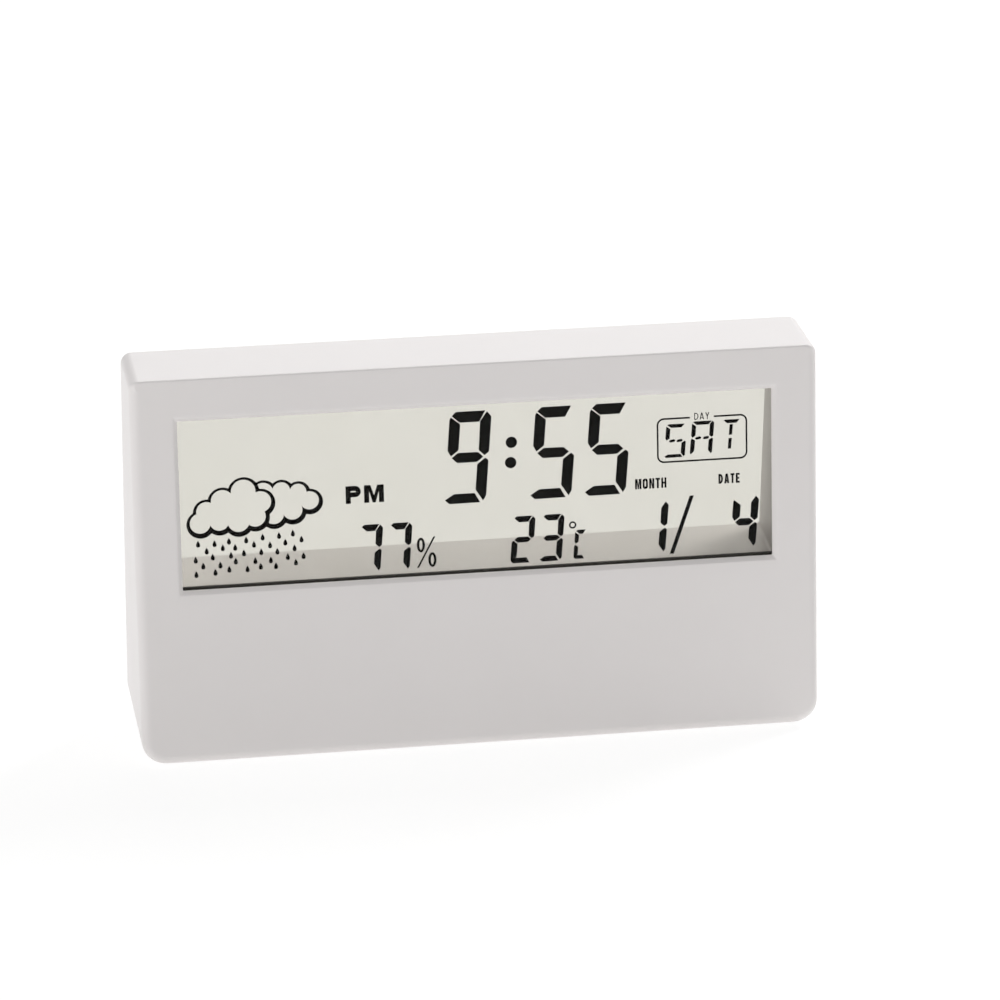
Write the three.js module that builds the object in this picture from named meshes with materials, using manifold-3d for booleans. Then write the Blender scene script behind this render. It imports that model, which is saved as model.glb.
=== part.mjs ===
// A desk clock with a see-through display. The case is a white moulded wedge, deeper at its base than at its
// top. A liquid crystal panel fills the window in its upper half, and a tunnel behind the panel lets the eye
// look right through. The lower half holds two AAA cells, the circuit board and four buttons on the rear.
// Millimetres, +Z up, front towards -Y, origin under the middle of the foot pads.

import * as THREE from 'three';
import { mergeVertices } from 'three/addons/utils/BufferGeometryUtils.js';
import { ConvexGeometry } from 'three/addons/geometries/ConvexGeometry.js';
import Module from 'manifold-3d';

const wasm = await Module();
wasm.setup();

// Case
const caseWidth = 140;
const caseHeight = 80;
const bottomDepth = 36;
const topDepth = 18.8;
const wall = 2.4;
const rimWall = 1.6;
const frontEdgeRadius = 2.0;
const rearEdgeRadius = 1.0;
const baseEdgeRadius = 2.5;
const topEdgeRadius = 0.4;
const topCornerRadius = 2.2;
const baseCornerRadius = 5.0;
const arcSteps = 3;

// Window in the leaning front face, placed from the case's sides, base and top edge
const windowSide = 9.4;
const windowBottom = 36.6;
const windowHead = 8.66;
const windowChamfer = 0.8;
const windowRim = 1.2;

// Clearances: bondGap between stacked sheets, fitGap round loose edges, runGap round moving pieces
const bondGap = 0.15;
const fitGap = 0.3;
const runGap = 0.3;

// Display sandwich, from the front to the rear
const lensThickness = 1.0;
const lensBorder = 2.0;
const gasketThickness = 0.8;
const gasketReveal = 0.2;
const gasketSetback = 1.0;
const polariserThickness = 0.2;
const glassThickness = 0.7;
const glassBorder = 1.9;
const contactLedge = 4.6;
const ledgeStep = 2.6;
const cradleLength = 20;
const cradleRibbonGap = 4;

// Window tunnel in the rear cover. Its rear opening is placed from the case's sides and top edge, and its sill
// falls towards the rear. Its walls end inside the cover's plate, at tunnelEnd of the tunnel's length.
const tunnelWall = 1.4;
const tunnelMargin = 1.3;
const tunnelEnd = 0.97;
const rearWindowSide = 6.3;
const rearWindowHead = 6.86;
const sillDrop = 3.7;

// Rear cover
const coverThickness = 2.0;
const hookWidth = 8;
const hookReach = 1.0;
const hookThickness = 1.1;
const hookSpacing = 44;
const hooks = 3;

// Battery bay and cells
const cellLength = 44.5;
const cellRadius = 5.25;
const cellNubRadius = 2.2;
const cellNubLength = 1.0;
const cellEdge = 0.4;
const cellShoulder = 0.5;
const rowGap = 0.4;
const bayClearance = 0.25;
const bayWall = 1.3;
const bayFloor = 1.2;
const bayInset = 14.4;
const contactThickness = 0.4;
const contactWidth = 8.6;
const springLength = 4.6;
const springBaseRadius = 3.6;
const springTipRadius = 2.4;
const tailWidth = 2.5;
const tailReach = 1.2;

// Battery door
const doorThickness = 1.5;
const doorLedge = 1.0;
const doorSeatGap = 0.2;
const tabWidth = 6;
const tabThickness = 1.0;
const tabReach = 1.3;
const tabInset = 12;
const webHeight = 1.4;
const tongueWidth = 11;
const tongueLength = 8;
const tongueSlit = 0.6;

// Buttons and their switches
const buttonNames = ['mode', 'set', 'up', 'down'];
const buttonWidth = 8;
const buttonHeight = 5;
const buttonStand = 1.0;
const buttonTravel = 0.5;
const buttonFlange = 1.0;
const flangeThickness = 0.8;
const stemRadius = 1.5;
const stemLength = 0.9;
const buttonPitch = 12;
const buttonRow = 21;
const switchSize = 6;
const switchHeight = 3.3;
const plungerRadius = 1.7;
const plungerStand = 1.1;
const plungerSunk = 0.9;

// Circuit board and what it carries. The first number of each place is measured from an end of the board:
// from its left end where it is positive and from its right end where it is negative.
const boardBayGap = 1.7;
const boardBottom = 5;
const boardTop = 27;
const boardThickness = 1.6;
const postRadius = 2.2;
const postPlaces = [[5, 14.5], [-2.5, 13]];
const buzzerRadius = 6;
const buzzerPlace = [-15, 10];
const sensorSize = 8;
const sensorHeight = 3.4;
const sensorPlace = [16, 9.5];
const blobRadius = 6.5;
const blobHeight = 1.6;
const blobEdge = 0.2;
const blobPlace = [20, 13];
const crystalRadius = 1.0;
const crystalLength = 6;
const crystalPlace = [-17, 12];
const capacitorRadius = 2.5;
const capacitorHeight = 7;
const capacitorPlace = [-9, 20];

// Display ribbon and battery leads. The ribbon bends behind and below the front glass, swings in over the
// board's top edge and lies flat on the board for a short way.
const ribbonPlaces = [15.5, -12];
const ribbonThickness = 0.3;
const ribbonLanding = 22.5;
const ribbonFlat = 2;
const ribbonBendBehind = 1.2;
const ribbonBendBelow = 3.5;
const ribbonSwing = 4.5;
const ribbonSwingBelow = 1;
const ribbonSteps = 22;
const leadSteps = 18;
const leadRadius = 0.6;
const leadLoop = 3.0;
const leadLanding = 3.4;

// Screws
const wellRadius = 2.7;
const wellWall = 0.9;
const headDepth = 2.0;
const headRadius = 2.3;
const headHeight = 1.4;
const wellFloor = 1.6;
const headRimShare = 0.6;
const headCrownShare = 0.75;
const shankRadius = 1.0;
const shankPoint = 1;
const shankTipShare = 0.5;
const shankLength = 9;
const bossRadius = 3.0;
const screwInset = 6.7;
const screwHeights = [8, 24.5];
const boardShankLength = 5;
const boardHeadRadius = 1.9;
const boardHeadHeight = 1.2;

// Vents in the rear cover
const soundHoleRadius = 0.7;
const soundHoleRing = 3.2;
const soundHoles = 6;
const ventSlots = 4;
const ventSlotWidth = 0.9;
const ventSlotHeight = 6;
const ventPitch = 2.0;

// Foot pads
const footRadius = 4;
const footThickness = 1.0;
const footStand = 0.4;
const footInset = 12;
const footSetback = 7.5;

// Small cutters run past a surface by past, and past the side of another cut by skim. A half-round end keeps
// this share of its radius, so that no side of its outline has zero length.
const past = 1;
const skim = 0.1;
const nearlyRound = 0.999;

const finish = (color, roughness, metalness = 0, extra = {}) =>
  new THREE.MeshStandardMaterial({ color, roughness, metalness, ...extra });
const clearSheet = { transparent: true, opacity: 0.3 };

const whiteAbs = finish(0xd9d6d2, 0.5);
const buttonAbs = finish(0xc9c6c1, 0.55);
const clearAcrylic = finish(0xf2f4f0, 0.05, 0, clearSheet);
const displayGlass = finish(0xdfe4da, 0.05, 0, clearSheet);
const polariserFilm = finish(0xbfc2b4, 0.2, 0, clearSheet);
const blackFoam = finish(0x1a1a1a, 0.95);
const ribbonFilm = finish(0xc98a3a, 0.5);
const boardLaminate = finish(0x2f6b45, 0.6);
const blackEpoxy = finish(0x141414, 0.4);
const blackPlastic = finish(0x1f1f20, 0.6);
const capacitorSleeve = finish(0x23304f, 0.4);
const sensorPlastic = finish(0xe6e6e0, 0.6);
const nickelSteel = finish(0xb9b8b2, 0.3, 1);
const zincSteel = finish(0xa3a5a8, 0.35, 1);
const cellWrap = finish(0x3c4a52, 0.4);
const redInsulation = finish(0xb02222, 0.5);
const blackInsulation = finish(0x202020, 0.5);
const greySilicone = finish(0x8c8c8a, 0.8);

// Derived frame of the case. The front face leans back and the rear face leans forward by the same angle.
const baseZ = footStand;
const topZ = baseZ + caseHeight;
const frontY = -bottomDepth / 2;
const rearY = bottomDepth / 2;
const setBack = (bottomDepth - topDepth) / 2;
const lean = Math.atan2(setBack, caseHeight);
const faceLength = Math.hypot(setBack, caseHeight);

// Front frame: x across, y inwards from the front face, z up the face. Rear frame: x across, y outwards from
// the rear face (so depths are negative), z up the face.
const frontFrame = new THREE.Group();
frontFrame.position.set(0, frontY, baseZ);
frontFrame.rotation.x = -lean;
frontFrame.updateMatrix();
const rearFrame = new THREE.Group();
rearFrame.position.set(0, rearY, baseZ);
rearFrame.rotation.x = lean;
rearFrame.updateMatrix();
const rearFaceY = (z) => rearY - (setBack * (z - baseZ)) / caseHeight;
const frontFaceY = (z) => -rearFaceY(z);

// A closed three.js geometry as a solid that can be joined and cut
function solid(geometry) {
  const bare = geometry.clone();
  bare.deleteAttribute('normal');
  bare.deleteAttribute('uv');
  const merged = mergeVertices(bare, 1e-4);
  const mesh = new wasm.Mesh({
    numProp: 3,
    vertProperties: new Float32Array(merged.attributes.position.array),
    triVerts: new Uint32Array(merged.index.array),
  });
  return new wasm.Manifold(mesh);
}

// A finished solid as a three.js geometry
function surface(body) {
  const mesh = body.getMesh();
  const geometry = new THREE.BufferGeometry();
  geometry.setAttribute('position', new THREE.BufferAttribute(mesh.vertProperties, 3));
  geometry.setIndex(new THREE.BufferAttribute(mesh.triVerts, 1));
  geometry.computeVertexNormals();
  return geometry;
}

// The same geometry moved from a leaning frame into the case's frame
const inFrame = (frame, geometry) => geometry.clone().applyMatrix4(frame.matrix);
const inFront = (geometry) => inFrame(frontFrame, geometry);
const inRear = (geometry) => inFrame(rearFrame, geometry);

const joined = (parts) => parts.reduce((sum, part) => sum.add(part));
const cutBy = (body, cutters) => cutters.reduce((left, cutter) => left.subtract(cutter), body);

// Box between two corners
function block(x0, x1, y0, y1, z0, z1) {
  const geometry = new THREE.BoxGeometry(x1 - x0, y1 - y0, z1 - z0);
  return geometry.translate((x0 + x1) / 2, (y0 + y1) / 2, (z0 + z1) / 2);
}

// Cylinder along Y from y0 to y1, about the line at x, z
function rodY(radius, x, z, y0, y1, sides = 24) {
  const geometry = new THREE.CylinderGeometry(radius, radius, y1 - y0, sides);
  return geometry.translate(x, (y0 + y1) / 2, z);
}

// Cylinder along Z from z0 to z1
function rodZ(radius, x, y, z0, z1, sides = 24) {
  const geometry = new THREE.CylinderGeometry(radius, radius, z1 - z0, sides).rotateX(Math.PI / 2);
  return geometry.translate(x, y, (z0 + z1) / 2);
}

// Convex outline whose corners are rounded by arcs. corners is a list of [x, y, radius], anticlockwise.
function roundedOutline(corners) {
  const shape = new THREE.Shape();
  corners.forEach(([x, y, radius], i) => {
    const before = corners[(i + corners.length - 1) % corners.length];
    const after = corners[(i + 1) % corners.length];
    const here = new THREE.Vector2(x, y);
    const toBefore = new THREE.Vector2(before[0], before[1]).sub(here).normalize();
    const toAfter = new THREE.Vector2(after[0], after[1]).sub(here).normalize();
    const half = Math.acos(THREE.MathUtils.clamp(toBefore.dot(toAfter), -1, 1)) / 2;
    const bisector = toBefore.clone().add(toAfter).normalize();
    const centre = here.clone().addScaledVector(bisector, radius / Math.sin(half));
    const start = here.clone().addScaledVector(toBefore, radius / Math.tan(half)).sub(centre);
    const end = here.clone().addScaledVector(toAfter, radius / Math.tan(half)).sub(centre);
    shape.absarc(centre.x, centre.y, radius, start.angle(), end.angle(), false);
  });
  shape.closePath();
  return shape;
}

const extruded = (shape, depth) =>
  new THREE.ExtrudeGeometry(shape, { depth, bevelEnabled: false, curveSegments: arcSteps });

// Extrusion of an outline in the YZ plane along X, from x0 to x1
function alongX(shape, x0, x1) {
  const turn = new THREE.Matrix4().makeBasis(
    new THREE.Vector3(0, 1, 0), new THREE.Vector3(0, 0, 1), new THREE.Vector3(1, 0, 0));
  return extruded(shape, x1 - x0).applyMatrix4(turn).translate(x0, 0, 0);
}

// Extrusion of an outline in the XZ plane along Y, from y0 to y1
function alongY(shape, y0, y1) {
  return extruded(shape, y1 - y0).rotateX(Math.PI / 2).translate(0, y1, 0);
}

// Rectangle x0..x1, z0..z1 with round corners
const roundedRectangle = (x0, x1, z0, z1, radius) =>
  roundedOutline([[x0, z0, radius], [x1, z0, radius], [x1, z1, radius], [x0, z1, radius]]);

// The wedge of the case, with every face moved inwards by inset. rearInset moves the rear face alone, and a
// negative one opens the wedge through the rear. Three prisms cross: side profile, front outline and plan.
function wedge(inset, rearInset = inset) {
  const radius = (outer) => Math.max(outer - inset, 0.2);
  const cosine = Math.cos(lean);
  const slope = Math.tan(lean);
  const low = baseZ + inset;
  const high = topZ - inset;
  const front = (z) => frontFaceY(z) + inset / cosine;
  const rear = (z) => rearFaceY(z) - rearInset / cosine;
  const half = caseWidth / 2 - inset;
  const profile = roundedOutline([
    [front(low), low, radius(baseEdgeRadius)],
    [rear(low), low, radius(baseEdgeRadius)],
    [rear(high), high, radius(topEdgeRadius)],
    [front(high), high, radius(topEdgeRadius)],
  ]);
  const outline = roundedOutline([
    [-half, low, radius(baseCornerRadius)],
    [half, low, radius(baseCornerRadius)],
    [half, high, radius(topCornerRadius)],
    [-half, high, radius(topCornerRadius)],
  ]);
  const plan = roundedOutline([
    [-half, front(low), radius(frontEdgeRadius)],
    [half, front(low), radius(frontEdgeRadius)],
    [half, rear(low), radius(rearEdgeRadius)],
    [-half, rear(low), radius(rearEdgeRadius)],
  ]);
  const column = extruded(plan, high - low).translate(0, 0, low);
  const place = column.attributes.position;
  const middle = (front(low) + rear(low)) / 2;
  for (let i = 0; i < place.count; i += 1) {
    const side = Math.sign(place.getY(i) - middle);
    place.setY(i, place.getY(i) - side * slope * (place.getZ(i) - low));
  }
  const reach = bottomDepth + Math.abs(rearInset);
  return solid(alongX(profile, -caseWidth, caseWidth))
    .intersect(solid(alongY(outline, -reach, reach)))
    .intersect(solid(column));
}

// Depths of the display sandwich from the front face, worked out once
const lensFront = windowRim + bondGap;
const gasketFront = lensFront + lensThickness + bondGap;
const frontFilmFront = gasketFront + gasketThickness + bondGap;
const frontGlassFront = frontFilmFront + polariserThickness + bondGap;
const rearGlassFront = frontGlassFront + glassThickness + bondGap;
const rearFilmFront = rearGlassFront + glassThickness + bondGap;
const rearLensFront = rearFilmFront + polariserThickness + bondGap;
const tunnelFront = rearLensFront + lensThickness + bondGap;

// Edges of the window, of its rear opening and of the sheets between them
const windowHalf = caseWidth / 2 - windowSide;
const windowTop = faceLength - windowHead;
const rearWindowHalf = caseWidth / 2 - rearWindowSide;
const rearWindowBottom = windowBottom - sillDrop;
const rearWindowTop = faceLength - rearWindowHead;
const lensHalf = windowHalf + lensBorder;
const lensLow = windowBottom - lensBorder;
const lensHigh = windowTop + lensBorder;
const glassHalf = windowHalf + glassBorder;
const glassHigh = windowTop + glassBorder;
const rearGlassLow = windowBottom - contactLedge + ledgeStep;
const frontGlassLow = windowBottom - contactLedge;

// Depths in the rear frame, all below zero because they lie inside the rear face
const doorBack = -doorThickness;
const bayMouth = doorBack - doorSeatGap;
const cellAxisDepth = bayMouth - bayClearance - cellRadius;
const bayDeep = cellAxisDepth - cellRadius - bayClearance;
const flangeOuter = -coverThickness - fitGap;
const stemEnd = flangeOuter - flangeThickness - stemLength;
const plungerTop = stemEnd - fitGap;
const switchTop = plungerTop - plungerStand;
const boardOuter = switchTop - switchHeight - bondGap;
const boardInner = boardOuter - boardThickness;

// Edges of the battery bay and its door. The tray's inner corner just clears the base of the tub.
const trayDepth = bayFloor - bayDeep;
const trayLow = (wall + fitGap + trayDepth * Math.sin(lean)) / Math.cos(lean);
const bayBottom = trayLow + bayWall;
const springRoom = fitGap + contactThickness + springLength + fitGap;
const plateRoom = fitGap + contactThickness + fitGap;
const bayLeft = -caseWidth / 2 + bayInset;
const bayRight = bayLeft + springRoom + cellLength + plateRoom;
const lowerRow = bayBottom + bayClearance + cellRadius;
const upperRow = lowerRow + 2 * cellRadius + rowGap;
const bayTop = upperRow + cellRadius + bayClearance;
const doorLeft = bayLeft - doorLedge;
const doorRight = bayRight + doorLedge;
const doorBottom = bayBottom - doorLedge;
const doorTop = bayTop + doorLedge;
const doorMiddle = (doorLeft + doorRight) / 2;
const tabPlaces = [doorLeft + tabInset, doorRight - tabInset];

// Case screws, one near each lower corner and two higher up, and the board between the battery tray and the
// right-hand screw bosses
const screwX = caseWidth / 2 - screwInset;
const screwPlaces = screwHeights.flatMap((z) => [[-screwX, z], [screwX, z]]);
const boardLeft = bayRight + bayWall + boardBayGap;
const boardRight = screwX - bossRadius - fitGap;
const onBoard = (place) => (place > 0 ? boardLeft : boardRight) + place;
const boardPosts = postPlaces.map(([x, z]) => [onBoard(x), z]);
const [ribbonLeft, ribbonRight] = ribbonPlaces.map(onBoard);

// Buttons in a row, centred between the frame of the battery door and the right-hand screw wells
const buttonMiddle = (doorRight + bayWall + screwX - wellRadius - wellWall) / 2;
const buttonPlaces = buttonNames.map((name, i) =>
  buttonMiddle + (i - (buttonNames.length - 1) / 2) * buttonPitch);

// Where a case screw sits: the seat of its head and the end of the boss that it bites into
const screwSeat = (z) => rearFaceY(z) - headDepth - headHeight;
const bossEnd = (z) => screwSeat(z) - wellFloor - fitGap;

const hookPlaces = Array.from({ length: hooks }, (_, i) => (i - (hooks - 1) / 2) * hookSpacing);
const hookDeep = -coverThickness - hookThickness - fitGap;
const coverEdge = rimWall + fitGap;
const innerTop = faceLength - wall / Math.cos(lean);

// Foot pad places, one in each corner of the base
const footPlaces = [
  ['front_left', -1, -1],
  ['front_right', 1, -1],
  ['rear_left', -1, 1],
  ['rear_right', 1, 1],
].map(([name, side, end]) =>
  [name, side * (caseWidth / 2 - footInset), end * (bottomDepth / 2 - footSetback)]);

// Chamfered window: a frustum through the front wall, wider by the chamfer at the face
function windowCutter() {
  const corners = [];
  for (const [depth, grow] of [[-past, windowChamfer + past], [windowChamfer, 0]]) {
    for (const x of [-windowHalf - grow, windowHalf + grow]) {
      for (const z of [windowBottom - grow, windowTop + grow]) corners.push(new THREE.Vector3(x, depth, z));
    }
  }
  const flare = new ConvexGeometry(corners);
  const hole = block(-windowHalf, windowHalf, 0, wall + past, windowBottom, windowTop);
  return solid(inFront(flare)).add(solid(inFront(hole)));
}

// Front shell: the tub with its face, top, base and sides in one moulding, open at the rear
function frontShell() {
  const rabbet = wedge(rimWall, -past)
    .subtract(solid(inRear(block(-caseWidth, caseWidth, -bottomDepth, -coverThickness - fitGap,
      -caseHeight, 2 * caseHeight))));
  const pocket = inFront(block(-lensHalf - fitGap, lensHalf + fitGap, windowRim, wall + past,
    lensLow - fitGap, lensHigh + fitGap));
  const tub = cutBy(wedge(0), [wedge(wall, -past), rabbet, windowCutter(), solid(pocket)]);
  const cavity = wedge(wall - fitGap, 0);
  const bosses = screwPlaces.map(([x, z]) =>
    solid(rodY(bossRadius, x, z, frontY, bossEnd(z))).intersect(cavity));
  const pilots = screwPlaces.map(([x, z]) =>
    solid(rodY(shankRadius + fitGap, x, z, bossEnd(z) - shankLength, bossEnd(z) + past)));
  const cradleLow = frontGlassLow - fitGap - wall / 2;
  const cradles = [
    [-glassHalf, -glassHalf + cradleLength],
    [-cradleLength / 2, cradleLength / 2],
    [ribbonRight + cradleRibbonGap, glassHalf],
  ].map(([x0, x1]) => solid(inFront(
    block(x0, x1, wall - fitGap, rearGlassFront + glassThickness, cradleLow, frontGlassLow - fitGap))));
  const slots = hookPlaces.map((x) => solid(inRear(block(
    x - hookWidth / 2 - fitGap, x + hookWidth / 2 + fitGap,
    hookDeep - fitGap, -coverThickness, innerTop - past, innerTop + hookReach + fitGap))));
  const sockets = footPlaces.map(([, x, y]) =>
    solid(rodZ(footRadius + fitGap, x, y, baseZ - past, footThickness + bondGap)));
  return cutBy(joined([tub, ...bosses, ...cradles]), [...pilots, ...slots, ...sockets]);
}

// One corner of the tunnel, a share of the way from its front rim to its rear opening
function tunnelCorner(side, up, grow, share) {
  const rim = new THREE.Vector3(
    side * (windowHalf + tunnelMargin + grow), tunnelFront,
    up > 0 ? windowTop + tunnelMargin + grow : windowBottom - tunnelMargin - grow);
  const mouth = new THREE.Vector3(
    side * (rearWindowHalf + grow), 0,
    up > 0 ? rearWindowTop + grow : rearWindowBottom - grow);
  rim.applyMatrix4(frontFrame.matrix);
  mouth.applyMatrix4(rearFrame.matrix);
  return rim.lerp(mouth, share);
}

// The tunnel as a solid block between two shares of its length
function tunnelBlock(grow, from, to) {
  const corners = [];
  for (const share of [from, to]) {
    for (const side of [-1, 1]) {
      for (const up of [-1, 1]) corners.push(tunnelCorner(side, up, grow, share));
    }
  }
  return solid(new ConvexGeometry(corners));
}

// Stadium outline of a button, grown by a margin
function buttonOutline(x, grow) {
  const radius = buttonHeight / 2 + grow;
  const half = buttonWidth / 2 + grow;
  return roundedRectangle(x - half, x + half, buttonRow - radius, buttonRow + radius, radius * nearlyRound);
}

// Rear cover: plate inside the tub's rim, with the window tunnel, battery bay, screw wells, board posts,
// hooks for its top edge, button holes, sound holes and sensor slots
function rearCover() {
  const plate = wedge(coverEdge, 0)
    .subtract(solid(inRear(block(-caseWidth, caseWidth, -2 * bottomDepth, -coverThickness,
      -caseHeight, 2 * caseHeight))));
  const tunnel = tunnelBlock(tunnelWall, 0, tunnelEnd);
  const tray = solid(inRear(block(bayLeft - bayWall, bayRight + bayWall, bayDeep - bayFloor, bayMouth,
    bayBottom - bayWall, bayTop + bayWall)));
  const collar = solid(inRear(block(doorLeft - bayWall, doorRight + bayWall, -coverThickness - bayWall,
    bayMouth, doorBottom - doorLedge, doorTop + doorLedge)));
  const wells = screwPlaces.map(([x, z]) =>
    solid(rodY(wellRadius + wellWall, x, z, screwSeat(z) - wellFloor, rearFaceY(z) - coverThickness / 2)));
  const posts = boardPosts.map(([x, z]) =>
    solid(inRear(rodY(postRadius, x, z, boardOuter + bondGap, -coverThickness / 2))));
  const hookArms = hookPlaces.map((x) => solid(inRear(block(
    x - hookWidth / 2, x + hookWidth / 2, hookDeep, -coverThickness / 2,
    innerTop - fitGap - 2 * hookThickness, innerTop - fitGap))));
  const hookTips = hookPlaces.map((x) => solid(inRear(block(
    x - hookWidth / 2, x + hookWidth / 2, hookDeep, hookDeep + hookThickness,
    innerTop - fitGap - hookThickness, innerTop + hookReach))));
  const body = joined([plate, tunnel, tray, collar, ...wells, ...posts, ...hookArms, ...hookTips]);

  const lookThrough = tunnelBlock(0, -0.05, 1.05);
  const doorHole = solid(inRear(block(doorLeft - runGap, doorRight + runGap, bayMouth, past,
    doorBottom - runGap, doorTop + runGap)));
  const bay = solid(inRear(block(bayLeft, bayRight, bayDeep, past, bayBottom, bayTop)));
  const notch = (x, outer, low) => solid(inRear(block(
    x - tabWidth / 2 - runGap, x + tabWidth / 2 + runGap,
    -2 * coverThickness - tabThickness, outer, low, bayBottom + past)));
  const tabNotches = tabPlaces.flatMap((x) => [
    notch(x, -coverThickness, doorBottom - tabReach - fitGap),
    notch(x, 0, doorBottom - runGap),
  ]);
  const tailSlots = [lowerRow, upperRow].map((z) => solid(inRear(block(
    bayRight - 2 * fitGap - contactThickness, bayRight + skim,
    bayDeep - bayFloor - past, bayDeep + past,
    z - tailWidth / 2 - fitGap, z + tailWidth / 2 + fitGap))));
  const headWells = screwPlaces.map(([x, z]) =>
    solid(rodY(wellRadius, x, z, screwSeat(z), rearFaceY(z) + 2 * past)));
  const shankHoles = screwPlaces.map(([x, z]) =>
    solid(rodY(shankRadius + fitGap, x, z, screwSeat(z) - wellFloor - past, screwSeat(z) + past)));
  const postHoles = boardPosts.map(([x, z]) => solid(inRear(
    rodY(shankRadius + fitGap, x, z, boardOuter - past, boardOuter + boardShankLength - boardThickness))));
  const buttonHoles = buttonPlaces.map((x) =>
    solid(inRear(alongY(buttonOutline(x, runGap), -coverThickness - past, past))));
  const sound = Array.from({ length: soundHoles }, (_, i) => (2 * Math.PI * i) / soundHoles).map((turn) =>
    solid(inRear(rodY(soundHoleRadius, onBoard(buzzerPlace[0]) + soundHoleRing * Math.cos(turn),
      buzzerPlace[1] + soundHoleRing * Math.sin(turn), -coverThickness - past, past, 12))));
  const soundCentre = solid(inRear(
    rodY(soundHoleRadius, onBoard(buzzerPlace[0]), buzzerPlace[1], -coverThickness - past, past, 12)));
  const vents = Array.from({ length: ventSlots }, (_, i) => {
    const x = onBoard(sensorPlace[0]) + (i - (ventSlots - 1) / 2) * ventPitch;
    return solid(inRear(block(x - ventSlotWidth / 2, x + ventSlotWidth / 2, -coverThickness - past, past,
      sensorPlace[1] - ventSlotHeight / 2, sensorPlace[1] + ventSlotHeight / 2)));
  });
  return cutBy(body, [lookThrough, doorHole, bay, ...tabNotches, ...tailSlots, ...headWells,
    ...shankHoles, ...postHoles, ...buttonHoles, ...sound, soundCentre, ...vents]);
}

// Battery door: plate with two hinge tabs below and a snap tongue between two slits at the top
function batteryDoor() {
  const plate = solid(block(doorLeft, doorRight, doorBack, 0, doorBottom, doorTop));
  const tabDeep = -coverThickness - fitGap - tabThickness;
  const webs = tabPlaces.map((x) => solid(block(
    x - tabWidth / 2, x + tabWidth / 2, tabDeep, doorBack / 2, doorBottom + fitGap,
    doorBottom + webHeight)));
  const tabs = tabPlaces.map((x) => solid(block(
    x - tabWidth / 2, x + tabWidth / 2, tabDeep, tabDeep + tabThickness,
    doorBottom - tabReach, doorBottom + webHeight)));
  const slits = [-1, 1].map((side) => {
    const x = doorMiddle + side * (tongueWidth + tongueSlit) / 2;
    return solid(block(x - tongueSlit / 2, x + tongueSlit / 2, doorBack - past, past,
      doorTop - tongueLength, doorTop + past));
  });
  return cutBy(joined([plate, ...webs, ...tabs]), slits);
}

// One button: cap, flange that keeps it in the cover and stem that reaches for the switch
function button(x) {
  const cap = alongY(buttonOutline(x, 0), flangeOuter - flangeThickness / 2, buttonStand);
  const flange = alongY(buttonOutline(x, buttonFlange), flangeOuter - flangeThickness, flangeOuter);
  const stem = rodY(stemRadius, x, buttonRow, stemEnd, flangeOuter - flangeThickness / 2, 16);
  return joined([solid(cap), solid(flange), solid(stem)]);
}

// Switch body with the bore in which its plunger runs
function switchBody(x) {
  const body = block(x - switchSize / 2, x + switchSize / 2, boardOuter + bondGap, switchTop,
    buttonRow - switchSize / 2, buttonRow + switchSize / 2);
  const bore = rodY(plungerRadius + runGap, x, buttonRow,
    switchTop - plungerSunk - buttonTravel - fitGap, switchTop + past, 16);
  return solid(body).subtract(solid(bore));
}

// One AAA cell along X, its nub towards the side given (1 for +X)
function cell(row, side) {
  const start = side > 0 ? bayLeft + springRoom : bayRight - springRoom;
  const profile = [
    [0, 0],
    [cellRadius - cellEdge, 0],
    [cellRadius, cellEdge],
    [cellRadius, cellLength - cellNubLength - cellShoulder],
    [cellRadius - cellShoulder, cellLength - cellNubLength],
    [cellNubRadius, cellLength - cellNubLength],
    [cellNubRadius, cellLength],
    [0, cellLength],
  ].map(([r, y]) => new THREE.Vector2(r, y));
  return new THREE.LatheGeometry(profile, 24).rotateZ(-side * Math.PI / 2)
    .translate(start, cellAxisDepth, row);
}

// Contact plate at one end wall of the bay. end is -1 for the left wall and 1 for the right one.
function contactPlate(end, low, high) {
  const outer = end > 0 ? bayRight - fitGap : bayLeft + fitGap;
  const inner = outer - end * contactThickness;
  return solid(block(Math.min(outer, inner), Math.max(outer, inner), cellAxisDepth - contactWidth / 2,
    cellAxisDepth + contactWidth / 2, low, high));
}

// Coned spring that leans on the flat end of a cell
function contactSpring(end, row) {
  const outer = end > 0 ? bayRight - fitGap - contactThickness / 2 : bayLeft + fitGap + contactThickness / 2;
  const length = springLength + contactThickness / 2;
  const cone = new THREE.CylinderGeometry(springTipRadius, springBaseRadius, length, 20)
    .rotateZ(end * Math.PI / 2)
    .translate(outer - end * length / 2, cellAxisDepth, row);
  return solid(cone);
}

// Tail of a right-hand contact, through the floor of the bay
function contactTail(row) {
  const outer = bayRight - fitGap;
  return solid(block(outer - contactThickness, outer, bayDeep - bayFloor - tailReach,
    cellAxisDepth, row - tailWidth / 2, row + tailWidth / 2));
}

const rowSpan = (row) => [row - contactWidth / 2, row + contactWidth / 2];
const positiveContact = () => contactPlate(1, ...rowSpan(lowerRow)).add(contactTail(lowerRow));
const negativeContact = () =>
  joined([contactPlate(1, ...rowSpan(upperRow)), contactTail(upperRow), contactSpring(1, upperRow)]);
const linkContact = () =>
  contactPlate(-1, lowerRow - contactWidth / 2, upperRow + contactWidth / 2)
    .add(contactSpring(-1, lowerRow));

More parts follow.
